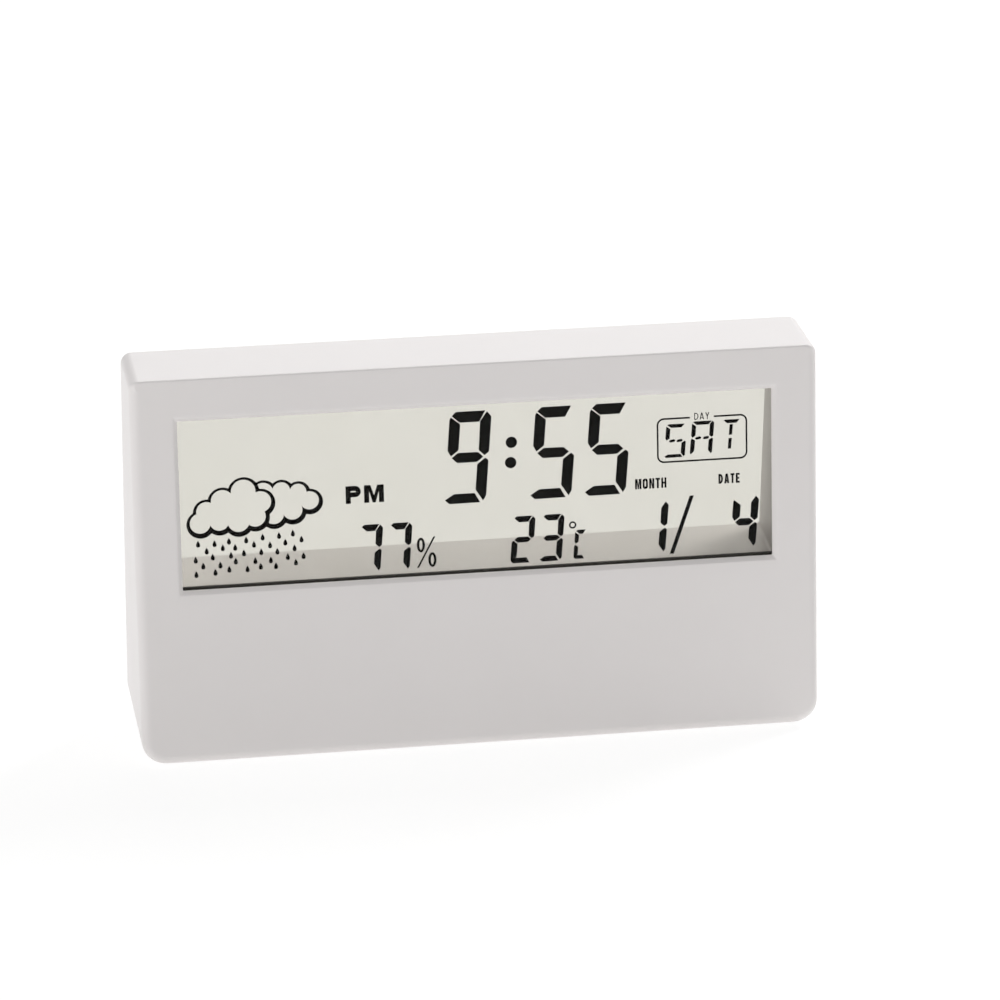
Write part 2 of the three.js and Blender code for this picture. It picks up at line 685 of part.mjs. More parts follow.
// Battery lead: a tube that loops from the end of a contact's tail to the inner face of the board
function lead(row) {
  const from = bayDeep - bayFloor - tailReach - fitGap;
  const to = boardInner - bondGap;
  const startX = bayRight - fitGap - contactThickness / 2;
  const endX = boardLeft + leadLanding;
  const path = new THREE.CatmullRomCurve3([
    new THREE.Vector3(startX, from, row),
    new THREE.Vector3(startX, from - leadLoop / 2, row),
    new THREE.Vector3((startX + endX) / 2, from - leadLoop, row),
    new THREE.Vector3(endX, from - leadLoop / 2, row),
    new THREE.Vector3(endX, (from + to) / 2, row),
    new THREE.Vector3(endX, to, row),
  ]);
  const section = new THREE.Shape().absarc(0, 0, leadRadius, 0, 2 * Math.PI);
  return new THREE.ExtrudeGeometry(section, {
    steps: leadSteps, extrudePath: path, bevelEnabled: false, curveSegments: 4,
  });
}

// Display ribbon: a flat film from the ledge of the front glass down to the board, as a bent strip in YZ
function displayRibbon() {
  const bonded = frontGlassFront + glassThickness + bondGap + ribbonThickness / 2;
  const landed = boardInner - bondGap - ribbonThickness / 2;
  const inFrontFrame = (depth, up) => new THREE.Vector3(0, depth, up).applyMatrix4(frontFrame.matrix);
  const inRearFrame = (depth, up) => new THREE.Vector3(0, depth, up).applyMatrix4(rearFrame.matrix);
  const curve = new THREE.CatmullRomCurve3([
    inFrontFrame(bonded, rearGlassLow - fitGap),
    inFrontFrame(bonded, frontGlassLow),
    inFrontFrame(bonded + ribbonBendBehind, frontGlassLow - ribbonBendBelow),
    inRearFrame(landed - ribbonSwing, boardTop - ribbonSwingBelow),
    inRearFrame(landed, ribbonLanding + ribbonFlat),
    inRearFrame(landed, ribbonLanding),
  ], false, 'centripetal');
  const spine = curve.getSpacedPoints(ribbonSteps);
  const edge = (side) => spine.map((point, i) => {
    const before = spine[Math.max(i - 1, 0)];
    const after = spine[Math.min(i + 1, spine.length - 1)];
    const along = new THREE.Vector2(after.y - before.y, after.z - before.z).normalize();
    const away = side * ribbonThickness / 2;
    return new THREE.Vector2(point.y - along.y * away, point.z + along.x * away);
  });
  const outline = new THREE.Shape([...edge(1), ...edge(-1).reverse()]);
  return alongX(outline, ribbonLeft, ribbonRight);
}

// Sheet of the display sandwich in the front frame
const sheet = (half, front, thickness, low, high) =>
  block(-half, half, front, front + thickness, low, high);

// Foam gasket: a frame whose lower bar stands a little above the window's edge
function screenGasket() {
  const frame = solid(sheet(lensHalf, gasketFront, gasketThickness, lensLow, lensHigh));
  const opening = block(-windowHalf - gasketSetback, windowHalf + gasketSetback,
    gasketFront - past, gasketFront + gasketThickness + past,
    windowBottom + gasketReveal, windowTop + gasketSetback);
  return frame.subtract(solid(opening));
}

// Screw along Y: pan head towards +Y and a plain shank
function screw(headR, headH, shankL) {
  const profile = [
    [0, -shankL],
    [shankRadius * shankTipShare, -shankL],
    [shankRadius, -shankL + shankPoint],
    [shankRadius, 0],
    [headR, 0],
    [headR, headH * headRimShare],
    [headR * headCrownShare, headH],
    [0, headH],
  ].map(([r, y]) => new THREE.Vector2(r, y));
  return new THREE.LatheGeometry(profile, 20);
}

// Epoxy blob over the controller chip, a low dome on the board's inner face
function controllerBlob() {
  const profile = [new THREE.Vector2(0, 0)];
  const steps = 5;
  for (let i = 0; i <= steps; i += 1) {
    const turn = (Math.PI / 2) * (i / steps);
    profile.push(new THREE.Vector2(
      blobRadius * Math.cos(turn), blobEdge + (blobHeight - blobEdge) * Math.sin(turn)));
  }
  profile[profile.length - 1].x = 0;
  profile.splice(1, 0, new THREE.Vector2(blobRadius, 0));
  return new THREE.LatheGeometry(profile, 24).rotateX(Math.PI)
    .translate(onBoard(blobPlace[0]), boardInner - bondGap, blobPlace[1]);
}

// Board with a clearance hole over each post
function circuitBoard() {
  const board = solid(block(boardLeft, boardRight, boardInner, boardOuter, boardBottom, boardTop));
  const holes = boardPosts.map(([x, z]) =>
    solid(rodY(shankRadius + fitGap, x, z, boardInner - past, boardOuter + past)));
  return cutBy(board, holes);
}

// Assembly
const clock = new THREE.Group();
clock.add(frontFrame, rearFrame);

function place(parent, name, geometry, material) {
  const mesh = new THREE.Mesh(geometry, material);
  mesh.name = name;
  parent.add(mesh);
  return mesh;
}

place(clock, 'front_shell', surface(frontShell()), whiteAbs);
place(clock, 'rear_cover', surface(rearCover()), whiteAbs);

place(frontFrame, 'front_lens', sheet(lensHalf, lensFront, lensThickness, lensLow, lensHigh), clearAcrylic);
place(frontFrame, 'screen_gasket', surface(screenGasket()), blackFoam);
place(frontFrame, 'front_polariser',
  sheet(glassHalf, frontFilmFront, polariserThickness, rearGlassLow, glassHigh), polariserFilm);
place(frontFrame, 'lcd_front_glass',
  sheet(glassHalf, frontGlassFront, glassThickness, frontGlassLow, glassHigh), displayGlass);
place(frontFrame, 'lcd_rear_glass',
  sheet(glassHalf, rearGlassFront, glassThickness, rearGlassLow, glassHigh), displayGlass);
place(frontFrame, 'rear_polariser',
  sheet(glassHalf, rearFilmFront, polariserThickness, rearGlassLow, glassHigh), polariserFilm);
place(frontFrame, 'rear_lens',
  sheet(glassHalf, rearLensFront, lensThickness, rearGlassLow, glassHigh), clearAcrylic);
place(clock, 'display_ribbon', displayRibbon(), ribbonFilm);

place(rearFrame, 'circuit_board', surface(circuitBoard()), boardLaminate);
place(rearFrame, 'controller_blob', controllerBlob(), blackEpoxy);
place(rearFrame, 'crystal',
  new THREE.CylinderGeometry(crystalRadius, crystalRadius, crystalLength, 16).rotateZ(Math.PI / 2)
    .translate(onBoard(crystalPlace[0]), boardInner - bondGap - crystalRadius, crystalPlace[1]),
  nickelSteel);
place(rearFrame, 'capacitor', rodY(capacitorRadius, onBoard(capacitorPlace[0]), capacitorPlace[1],
  boardInner - bondGap - capacitorHeight, boardInner - bondGap), capacitorSleeve);
place(rearFrame, 'buzzer', rodY(buzzerRadius, onBoard(buzzerPlace[0]), buzzerPlace[1],
  boardOuter + bondGap, -coverThickness - fitGap), blackPlastic);
place(rearFrame, 'humidity_sensor', block(
  onBoard(sensorPlace[0]) - sensorSize / 2, onBoard(sensorPlace[0]) + sensorSize / 2,
  boardOuter + bondGap, boardOuter + bondGap + sensorHeight,
  sensorPlace[1] - sensorSize / 2, sensorPlace[1] + sensorSize / 2), sensorPlastic);

buttonNames.forEach((name, i) => {
  const x = buttonPlaces[i];
  place(rearFrame, `${name}_button`, surface(button(x)), buttonAbs);
  place(rearFrame, `${name}_plunger`,
    rodY(plungerRadius, x, buttonRow, switchTop - plungerSunk, plungerTop, 16), blackPlastic);
  place(rearFrame, `${name}_switch`, surface(switchBody(x)), blackPlastic);
});

place(rearFrame, 'battery_door', surface(batteryDoor()), whiteAbs);
place(rearFrame, 'aaa_cell_lower', cell(lowerRow, 1), cellWrap);
place(rearFrame, 'aaa_cell_upper', cell(upperRow, -1), cellWrap);
place(rearFrame, 'positive_contact', surface(positiveContact()), nickelSteel);
place(rearFrame, 'negative_contact', surface(negativeContact()), nickelSteel);
place(rearFrame, 'link_contact', surface(linkContact()), nickelSteel);
place(rearFrame, 'red_lead', lead(lowerRow), redInsulation);
place(rearFrame, 'black_lead', lead(upperRow), blackInsulation);

screwPlaces.forEach(([x, z], i) => {
  const mesh = place(clock, `case_screw_${i + 1}`, screw(headRadius, headHeight, shankLength), zincSteel);
  mesh.position.set(x, screwSeat(z) + bondGap, z);
});
boardPosts.forEach(([x, z], i) => {
  const mesh = place(rearFrame, `board_screw_${i + 1}`,
    screw(boardHeadRadius, boardHeadHeight, boardShankLength), zincSteel);
  mesh.position.set(x, boardInner - bondGap, z);
  mesh.rotation.x = Math.PI;
});
footPlaces.forEach(([name, x, y]) => {
  place(clock, `foot_${name}`, rodZ(footRadius, x, y, 0, footThickness), greySilicone);
});

export default clock;
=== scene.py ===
"""A wedge-shaped desk clock with a see-through display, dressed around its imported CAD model. Metres, +Z up,
front towards -Y. Real sizes are written in millimetres and multiplied by MM."""

import math

import bmesh
import bpy
import numpy as np
from mathutils import Matrix, Vector


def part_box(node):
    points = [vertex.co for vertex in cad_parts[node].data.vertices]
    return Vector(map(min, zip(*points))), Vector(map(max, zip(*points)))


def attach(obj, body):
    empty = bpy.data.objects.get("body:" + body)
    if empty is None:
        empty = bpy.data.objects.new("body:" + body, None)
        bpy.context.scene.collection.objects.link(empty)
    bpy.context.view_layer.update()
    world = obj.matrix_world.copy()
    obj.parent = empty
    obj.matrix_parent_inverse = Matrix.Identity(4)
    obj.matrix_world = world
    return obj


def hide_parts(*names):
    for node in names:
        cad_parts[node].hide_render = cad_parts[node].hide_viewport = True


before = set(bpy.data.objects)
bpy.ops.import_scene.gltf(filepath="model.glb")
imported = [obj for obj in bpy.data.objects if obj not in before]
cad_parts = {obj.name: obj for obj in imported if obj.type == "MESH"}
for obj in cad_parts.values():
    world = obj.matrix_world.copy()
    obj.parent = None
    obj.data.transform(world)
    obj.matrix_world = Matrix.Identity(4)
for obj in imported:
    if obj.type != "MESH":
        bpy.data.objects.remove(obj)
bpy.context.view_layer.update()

MM = 0.001


# Table and studio. The clock stands on a white table top in a white room. A large soft lamp lights it from
# behind on its right, and weaker ones from straight behind, its left and the front. The camera looks down
# from the front left.
TABLE_GLOW, TABLE_SHADE, TABLE_BOUNCE, TABLE_HALF = 0.8, 0.35, 0.4, 6.0
ROOM_LIGHT = 0.36
CAMERA_AIM = (6.58 * MM, 2.16 * MM, 46.38 * MM)
CAMERA_DISTANCE, FOCAL_LENGTH, SENSOR_WIDTH, CLIP_START = 1.0478, 183.6, 36, 0.05
CAMERA_AZIMUTH, CAMERA_ELEVATION = math.radians(-9.06), math.radians(20.73)
CAMERA_ROLL = math.radians(-0.174)
LAMP_AIM = (0, 0, 40 * MM)


def srgb(code):
    """An sRGB hex code such as "E9E6E2" as linear red, green, blue and alpha."""
    part = np.array([int(code[i:i + 2], 16) for i in (0, 2, 4)]) / 255
    linear = np.where(part <= 0.04045, part / 12.92, ((part + 0.055) / 1.055) ** 2.4)
    return (*linear.tolist(), 1.0)


def add(tree, kind, inputs=None, output=None, **settings):
    """Adds a node with its settings and gives the output of a name, or else the first one in use. inputs maps
    a socket's name or number to a value or to another node's output."""
    made = tree.nodes.new(kind)
    for name, value in settings.items():
        setattr(made, name, value)
    for key, value in (inputs or {}).items():
        if isinstance(value, bpy.types.NodeSocket):
            tree.links.new(value, made.inputs[key])
        else:
            made.inputs[key].default_value = value
    return made.outputs[output] if output else next((out for out in made.outputs if out.enabled), None)


def new_material(name):
    """An empty material and its node tree."""
    material = bpy.data.materials.new(name)
    material.use_nodes = True
    material.node_tree.nodes.clear()
    return material, material.node_tree


def seen_directly(tree):
    """1 for rays that show the surroundings to the eye: straight, in a reflection or through glass."""
    rays = add(tree, "ShaderNodeLightPath").node.outputs
    bare = add(tree, "ShaderNodeMath", {0: rays["Is Camera Ray"], 1: rays["Is Glossy Ray"]},
               operation="MAXIMUM")
    return add(tree, "ShaderNodeMath", {0: bare, 1: rays["Is Transmission Ray"]}, operation="MAXIMUM")


# White laminate takes the clock's shadow. Seen by the eye it is mostly an even glow, which makes it paper
# white and leaves a share of the shadow. A weaker glow lights the clock from below, as a wide table in
# daylight does.
white_laminate, tree = new_material("white_laminate")
seen = seen_directly(tree)
strength = add(tree, "ShaderNodeMapRange", {"Value": seen, "To Min": TABLE_BOUNCE, "To Max": TABLE_GLOW})
glow = add(tree, "ShaderNodeEmission", {"Color": srgb("FFFFFF"), "Strength": strength})
kept = add(tree, "ShaderNodeMapRange", {"Value": seen, "To Min": 1.0, "To Max": TABLE_SHADE})
paint = add(tree, "ShaderNodeMix", {"Factor": kept, "A": srgb("000000"), "B": srgb("F4F4F3")},
            data_type="RGBA")
shaded = add(tree, "ShaderNodeBsdfDiffuse", {"Color": paint})
add(tree, "ShaderNodeOutputMaterial", {"Surface": add(tree, "ShaderNodeAddShader", {0: shaded, 1: glow})})

scene = bpy.context.scene
scene.view_settings.view_transform = "Standard"


def placed(name, data):
    """An object with some data, in the scene."""
    made = bpy.data.objects.new(name, data)
    scene.collection.objects.link(made)
    return made


def mesh_of(name, solid):
    """A mesh with a solid's points and faces."""
    mesh = bpy.data.meshes.new(name)
    mesh.from_pydata(solid[0].tolist(), [], solid[1])
    return mesh


def rect(x0, x1, up0, up1):
    """The four corners of a rectangle, anticlockwise."""
    return np.array([(x0, up0), (x1, up0), (x1, up1), (x0, up1)])


table_corners = np.insert(rect(-TABLE_HALF, TABLE_HALF, -TABLE_HALF, TABLE_HALF), 2, 0, axis=1)
table = placed("table_top", mesh_of("table_top", (table_corners, [(0, 1, 2, 3)])))
table.data.materials.append(white_laminate)

world = bpy.data.worlds.new("white_room")
scene.world = world
world.use_nodes = True
room = world.node_tree
room.nodes.clear()
strength = add(room, "ShaderNodeMapRange",
               {"Value": seen_directly(room), "To Min": ROOM_LIGHT, "To Max": 1.0})
walls = add(room, "ShaderNodeBackground", {"Color": srgb("FFFFFF"), "Strength": strength})
add(room, "ShaderNodeOutputWorld", {"Surface": walls})


def soft_lamp(name, place, size, watts):
    """A square area lamp that faces the middle of the clock."""
    lamp = bpy.data.lights.new(name, "AREA")
    lamp.size, lamp.energy = size, watts
    holder = placed(name, lamp)
    holder.location = place
    holder.rotation_euler = (Vector(LAMP_AIM) - Vector(place)).to_track_quat("-Z", "Y").to_euler()


soft_lamp("rear_lamp", (0.92, 0.72, 1.05), 0.6, 12.5)
soft_lamp("back_lamp", (0.22, 1.37, 0.56), 0.8, 3.2)
soft_lamp("left_lamp", (-0.9, -0.15, 0.35), 0.6, 1.7)
soft_lamp("front_lamp", (-0.35, -0.9, 0.75), 0.7, 1.2)

lens = bpy.data.cameras.new("camera")
lens.lens, lens.sensor_width, lens.clip_start = FOCAL_LENGTH, SENSOR_WIDTH, CLIP_START
lens.sensor_fit = "HORIZONTAL"
towards = Vector((-math.sin(CAMERA_AZIMUTH) * math.cos(CAMERA_ELEVATION),
                  math.cos(CAMERA_AZIMUTH) * math.cos(CAMERA_ELEVATION), -math.sin(CAMERA_ELEVATION)))
turned_camera = towards.to_track_quat("-Z", "Y").to_matrix() @ Matrix.Rotation(CAMERA_ROLL, 3, "Z")
camera = placed("camera", lens)
camera.matrix_world = turned_camera.to_4x4()
camera.location = Vector(CAMERA_AIM) - towards * CAMERA_DISTANCE
scene.camera = camera


# Front shell. One white tub with the face, top, base and sides, open at the rear, injection-moulded in ABS.
# Its front and rear faces lean towards each other by the same angle. Inside are four screw bosses, ledges
# that the display stands on, slots for the rear cover's hooks and sockets for the feet.
BASE_DEPTH, TOP_DEPTH = 36 * MM, 18.8 * MM
WALL, RIM_WALL, RIM_STEP = 2.4 * MM, 1.6 * MM, 2.3 * MM
BASE_CORNER, TOP_CORNER, LEAST_CORNER = 5.0 * MM, 2.2 * MM, 0.5 * MM
SIDE_EDGE, BASE_EDGE, TOP_EDGE, REAR_EDGE = 2.0 * MM, 2.5 * MM, 0.4 * MM, 1.0 * MM
WINDOW_SIDE, WINDOW_BOTTOM, WINDOW_HEAD = 9.4 * MM, 36.6 * MM, 8.66 * MM
WINDOW_CHAMFER, WINDOW_RIM, WINDOW_CORNER = 0.8 * MM, 1.2 * MM, 0.25 * MM
LENS_BORDER, FIT_GAP, EDGE_BREAK = 2.0 * MM, 0.3 * MM, 0.12 * MM
CORNER_STEPS, EDGE_STEPS, FILLET_STEPS = 12, 5, 8
FACE_MARGIN, WALL_MARGIN = 0.06, 0.04
GLOSS_DRIFT = 0.05
BOSS_RADIUS, PILOT_RADIUS, PILOT_DEPTH = 3.0 * MM, 1.3 * MM, 9.0 * MM
SCREW_SEAT, SEAT_FLOOR = 3.4 * MM, 1.6 * MM
LEDGE_LENGTH, LEDGE_THICKNESS, RIBBON_ROOM = 20 * MM, 1.5 * MM, 4 * MM
HOOK_WIDTH, HOOK_PLACES = 8 * MM, (-44 * MM, 0, 44 * MM)
HOOK_SLOT_RISE, HOOK_SLOT_DEPTHS = 1.3 * MM, (2.0 * MM, 3.7 * MM)
FOOT_SOCKET, BOND_GAP = 4.3 * MM, 0.15 * MM
PAST = 1 * MM
FEET = ["foot_front_left", "foot_front_right", "foot_rear_left", "foot_rear_right"]

shell_low, shell_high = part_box("front_shell")
CASE_HALF, CASE_LOW, CASE_HIGH = shell_high.x, shell_low.z, shell_high.z
LEAN = math.atan2((BASE_DEPTH - TOP_DEPTH) / 2, CASE_HIGH - CASE_LOW)
FACE_LENGTH = (CASE_HIGH - CASE_LOW) / math.cos(LEAN)
WINDOW_HALF, WINDOW_TOP = CASE_HALF - WINDOW_SIDE, FACE_LENGTH - WINDOW_HEAD
FRONT, REAR = -1, 1


def leaning(side, x, depth, up):
    """Points behind a leaning face: x across, depth square to the face and inwards, up along the face."""
    x, depth, up = np.broadcast_arrays(x, depth, up)
    away = BASE_DEPTH / 2 - up * math.sin(LEAN) - depth * math.cos(LEAN)
    return np.stack([x, side * away, CASE_LOW + up * math.cos(LEAN) - depth * math.sin(LEAN)], -1)


def rear_y(z):
    """Where the rear face lies at a height, and its mirror image the front face."""
    return BASE_DEPTH / 2 - (z - CASE_LOW) * math.tan(LEAN)


def upright(side, x, z, depth):
    """Points at a height z, with the depth behind the leaning face measured level, along Y."""
    x, z, depth = np.broadcast_arrays(x, z, depth)
    return np.stack([x, side * (rear_y(z) - depth), z], -1)


def points_of(mesh):
    """A mesh's vertices as an array."""
    points = np.empty(len(mesh.vertices) * 3)
    mesh.vertices.foreach_get("co", points)
    return points.reshape(-1, 3)


def span(node, side):
    """The lowest, middle and highest x, depth and up of a CAD node, in the frame of a leaning face."""
    x, y, z = points_of(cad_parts[node].data).T
    away, above = BASE_DEPTH / 2 - side * y, z - CASE_LOW
    local = np.stack([x, away * math.cos(LEAN) - above * math.sin(LEAN),
                      away * math.sin(LEAN) + above * math.cos(LEAN)])
    low, high = local.min(1), local.max(1)
    return low, (low + high) / 2, high


def rounded_loop(x0, x1, up0, up1, low_radius, high_radius=None):
    """A rounded rectangle, anticlockwise from its lower left corner: quarter circles and straight runs. Its
    upper corners may have a radius of their own."""
    high_radius = high_radius or low_radius
    turn = np.linspace(0, math.pi / 2, CORNER_STEPS)
    corners = []
    for x, up, radius, start in ((x0 + low_radius, up0 + low_radius, low_radius, math.pi),
                                 (x1 - low_radius, up0 + low_radius, low_radius, 1.5 * math.pi),
                                 (x1 - high_radius, up1 - high_radius, high_radius, 0),
                                 (x0 + high_radius, up1 - high_radius, high_radius, 0.5 * math.pi)):
        corners.append(np.stack([x + radius * np.cos(start + turn), up + radius * np.sin(start + turn)], 1))
    share = np.linspace(0, 1, EDGE_STEPS + 2)[1:-1, None]
    loop = []
    for here, after in zip(corners, corners[1:] + corners[:1]):
        loop += [here, here[-1] + share * (after[0] - here[-1])]
    return np.concatenate(loop)


def circle(x, up, radius, steps=40):
    """Points on a circle, anticlockwise."""
    turn = np.linspace(0, 2 * math.pi, steps, endpoint=False)
    return np.stack([x + radius * np.cos(turn), up + radius * np.sin(turn)], 1)


def loft(rings, wrap=False):
    """A closed solid through rings of points: quads between neighbours, and flat ends or, wrapped, no ends.
    The faces are turned outwards by the sign of the volume that they enclose, as fans of triangles."""
    rings = np.asarray(rings, float)
    points = rings.reshape(-1, 3)
    here = np.arange(len(points)).reshape(rings.shape[:2])
    after = np.roll(here, -1, axis=1)
    quads = np.stack([here, after, np.roll(after, -1, axis=0), np.roll(here, -1, axis=0)], -1)
    fans = [quads.reshape(-1, 4)] if wrap else [quads[:-1].reshape(-1, 4), here[:1, ::-1], here[-1:]]
    arms = points - points.mean(0)
    volume = sum(np.einsum("ij,ikj->", arms[fan[:, 0]], np.cross(arms[fan[:, 1:-1]], arms[fan[:, 2:]]))
                 for fan in fans)
    faces = [face for fan in fans for face in fan.tolist()]
    return points, faces if volume > 0 else [face[::-1] for face in faces]


def slab(side, outline, near, far):
    """An outline across and up a leaning face, carried straight from one depth to another."""
    x, up = outline.T
    return loft([leaning(side, x, depth, up) for depth in (near, far)])


def crosswise(side, outline, x0, x1):
    """An outline in depth and up behind a leaning face, carried across from one x to another."""
    depth, up = np.array(outline).T
    return loft([leaning(side, x, depth, up) for x in (x0, x1)])


def rod(axis, middle, radius, start, end):
    """A round rod along Y, axis 1, or Z, axis 2. middle gives its line by the other two coordinates."""
    return loft([np.insert(circle(*middle, radius), axis, place, axis=1) for place in (start, end)])


def worked(base, joins=(), cuts=()):
    """A solid with others joined on and then others cut away, by the exact boolean solver."""
    body = placed("tool", mesh_of("tool", base))
    tools = [body]
    for operation, solids in (("UNION", joins), ("DIFFERENCE", cuts)):
        for solid in solids:
            tools.append(placed("tool", mesh_of("tool", solid)))
            step = body.modifiers.new("step", "BOOLEAN")
            step.operation, step.solver, step.object = operation, "EXACT", tools[-1]
    evaluated = body.evaluated_get(bpy.context.evaluated_depsgraph_get())
    mesh = evaluated.to_mesh()
    result = points_of(mesh), [list(face.vertices) for face in mesh.polygons]
    evaluated.to_mesh_clear()
    for tool in tools:
        bpy.data.objects.remove(tool)
    return result


def joined(solids):
    """Several solids as one set of points and faces."""
    points, faces, start = [], [], 0
    for some, sides in solids:
        points.append(some)
        faces += [[start + i for i in side] for side in sides]
        start += len(some)
    return np.concatenate(points), faces


def piece(name, stands_for, solid, material, slot, body="case", crease=32):
    """A finished piece in the place of CAD nodes, on its body, smooth but for creases over an angle.
    Large faces keep their own normals, and the small ones at their edges turn to meet them. slot is not used."""
    made = placed(name, mesh_of(name, solid))
    made.data.validate()
    made.data.polygons.foreach_set("use_smooth", np.ones(len(made.data.polygons), bool))
    made.data.set_sharp_from_angle(angle=math.radians(crease))
    made.data.materials.append(material)
    normals = made.modifiers.new("face_normals", "WEIGHTED_NORMAL")
    normals.weight, normals.keep_sharp = 100, True
    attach(made, body)
    if stands_for:
        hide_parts(*stands_for)
    return made


def opaque(tree, pattern, colour, shade, sockets, height=None, relief=0, strength=1):
    """Ends an opaque material: its tone goes from a colour to a shade with a pattern, and a height stands in
    relief. sockets holds the shader's other inputs."""
    tone = add(tree, "ShaderNodeMix", {"Factor": pattern, "A": colour, "B": shade}, data_type="RGBA")
    if relief:
        bump = add(tree, "ShaderNodeBump", {"Height": height, "Distance": relief, "Strength": strength})
        sockets = {**sockets, "Normal": bump}
    shader = add(tree, "ShaderNodeBsdfPrincipled", {"Base Color": tone, **sockets})
    add(tree, "ShaderNodeOutputMaterial", {"Surface": shader})


def moulded(name, colour, shade, roughness, grain=0.16 * MM, relief=0.006 * MM, drift=22 * MM):
    """Moulded plastic: a spark-eroded satin grain in relief, a slow drift of tone as the melt cools, and
    gloss that varies with the grain. grain and drift are the widths of one grain and one cloud of tone."""
    material, tree = new_material(name)
    place = add(tree, "ShaderNodeTexCoord", output="Object")
    fine = add(tree, "ShaderNodeTexNoise", {"Vector": place, "Scale": 1 / grain, "Detail": 2.0})
    slow = add(tree, "ShaderNodeTexNoise", {"Vector": place, "Scale": 1 / drift, "Detail": 3.0})
    gloss = add(tree, "ShaderNodeMapRange",
                {"Value": fine, "From Min": 0.3, "From Max": 0.7, "To Min": roughness - GLOSS_DRIFT,
                 "To Max": roughness + GLOSS_DRIFT})
    opaque(tree, slow, srgb(colour), srgb(shade), {"Roughness": gloss, "IOR": 1.53}, fine, relief,
           strength=0.6)
    return material


# ABS: opaque titanium-white pellets, slightly warm. The satin tool surface gives a soft, wide highlight.
white_abs = moulded("moulded_white_abs", "EAE6E5", "E6E2E1", 0.46)


def case_loop(inset):
    """The case's outline moved inwards, with its corners kept round."""
    return rounded_loop(-CASE_HALF + inset, CASE_HALF - inset, CASE_LOW + inset, CASE_HIGH - inset,
                        max(BASE_CORNER - inset, LEAST_CORNER), max(TOP_CORNER - inset, LEAST_CORNER))


outline = case_loop(0)
outward = case_loop(-1) - outline


def edge_radius(side_radius):
    """The edge radius all round: one value at the sides, others at base and top, blended over the corners."""
    ends = np.where(outward[:, 1] < 0, BASE_EDGE, TOP_EDGE)
    return side_radius * outward[:, 0] ** 2 + ends * outward[:, 1] ** 2


def fillet(side, radius, reach):
    """Rings that turn from the walls onto a leaning face along a quarter circle, from wall to face. reach
    caps how far each point moves in from the outline."""
    full = np.arccos(1 - np.minimum(1, reach / radius))
    rings = []
    for share in np.linspace(0, 1, FILLET_STEPS + 1):
        inset = radius * (1 - np.cos(full * share))
        x, z = (outline - inset[:, None] * outward).T
        rings.append(upright(side, x, z, radius * (1 - np.sin(full * share))))
    return rings


def window_ring(grow, depth, corner=WINDOW_CORNER):
    """The window's edge, grown sideways, at a depth behind the front face."""
    x, up = rounded_loop(-WINDOW_HALF - grow, WINDOW_HALF + grow, WINDOW_BOTTOM - grow, WINDOW_TOP + grow,
                         corner).T
    return leaning(FRONT, x, depth, up)


def between(a, b, share):
    """A point or ring a share of the way from one to another."""
    return a + share * (b - a)


def centre(node):
    """The middle of a CAD node's box."""
    low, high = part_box(node)
    return (low + high) / 2


front_fillet = fillet(FRONT, edge_radius(SIDE_EDGE), edge_radius(SIDE_EDGE))
rear_fillet = fillet(REAR, edge_radius(REAR_EDGE), np.minimum(edge_radius(REAR_EDGE), RIM_WALL - EDGE_BREAK))
window_edge = window_ring(WINDOW_CHAMFER + EDGE_BREAK, 0)
rim, wall = case_loop(RIM_WALL).T, case_loop(WALL).T
rim_drop = BASE_EDGE - math.sqrt(BASE_EDGE ** 2 - (BASE_EDGE - RIM_WALL) ** 2)
shell_rings = [
    window_ring(WINDOW_CHAMFER - EDGE_BREAK, EDGE_BREAK),
    window_edge,
    between(window_edge, front_fillet[-1], FACE_MARGIN),
    between(window_edge, front_fillet[-1], 1 - FACE_MARGIN),
    *front_fillet[::-1],
    between(front_fillet[0], rear_fillet[0], WALL_MARGIN),
    between(front_fillet[0], rear_fillet[0], 1 - WALL_MARGIN),
    *rear_fillet,
    upright(REAR, *rim, rim_drop * np.clip(-outward[:, 1], 0, 1) ** 2),
    upright(REAR, *rim, RIM_STEP),
    upright(REAR, *wall, RIM_STEP),
    upright(FRONT, *wall, WALL / math.cos(LEAN)),
    window_ring(LENS_BORDER + FIT_GAP, WALL),
    window_ring(LENS_BORDER + FIT_GAP, WINDOW_RIM),
    window_ring(0, WINDOW_RIM),
    window_ring(0, WINDOW_CHAMFER),
]

screw_axes = [(centre(f"case_screw_{i}").x, centre(f"case_screw_{i}").z) for i in range(1, 5)]
joins, cuts = [], []
for x, z in screw_axes:
    boss_end = rear_y(z) - SCREW_SEAT - SEAT_FLOOR - FIT_GAP
    joins.append(rod(1, (x, z), BOSS_RADIUS, -rear_y(z) + WALL / 2, boss_end))
    cuts.append(rod(1, (x, z), PILOT_RADIUS, boss_end - PILOT_DEPTH, boss_end + PAST))

glass_low, _, glass_high = span("lcd_front_glass", FRONT)
rear_glass_low, _, rear_glass_high = span("lcd_rear_glass", FRONT)
ribbon_low, _, ribbon_high = span("display_ribbon", FRONT)
ledge_top = glass_low[2] - FIT_GAP
for x0, x1 in ((-glass_high[0], LEDGE_LENGTH - glass_high[0]), (-LEDGE_LENGTH / 2, LEDGE_LENGTH / 2),
               (ribbon_high[0] + RIBBON_ROOM, glass_high[0])):
    joins.append(slab(FRONT, rect(x0, x1, ledge_top - LEDGE_THICKNESS, ledge_top), WALL - FIT_GAP,
                      rear_glass_high[1]))

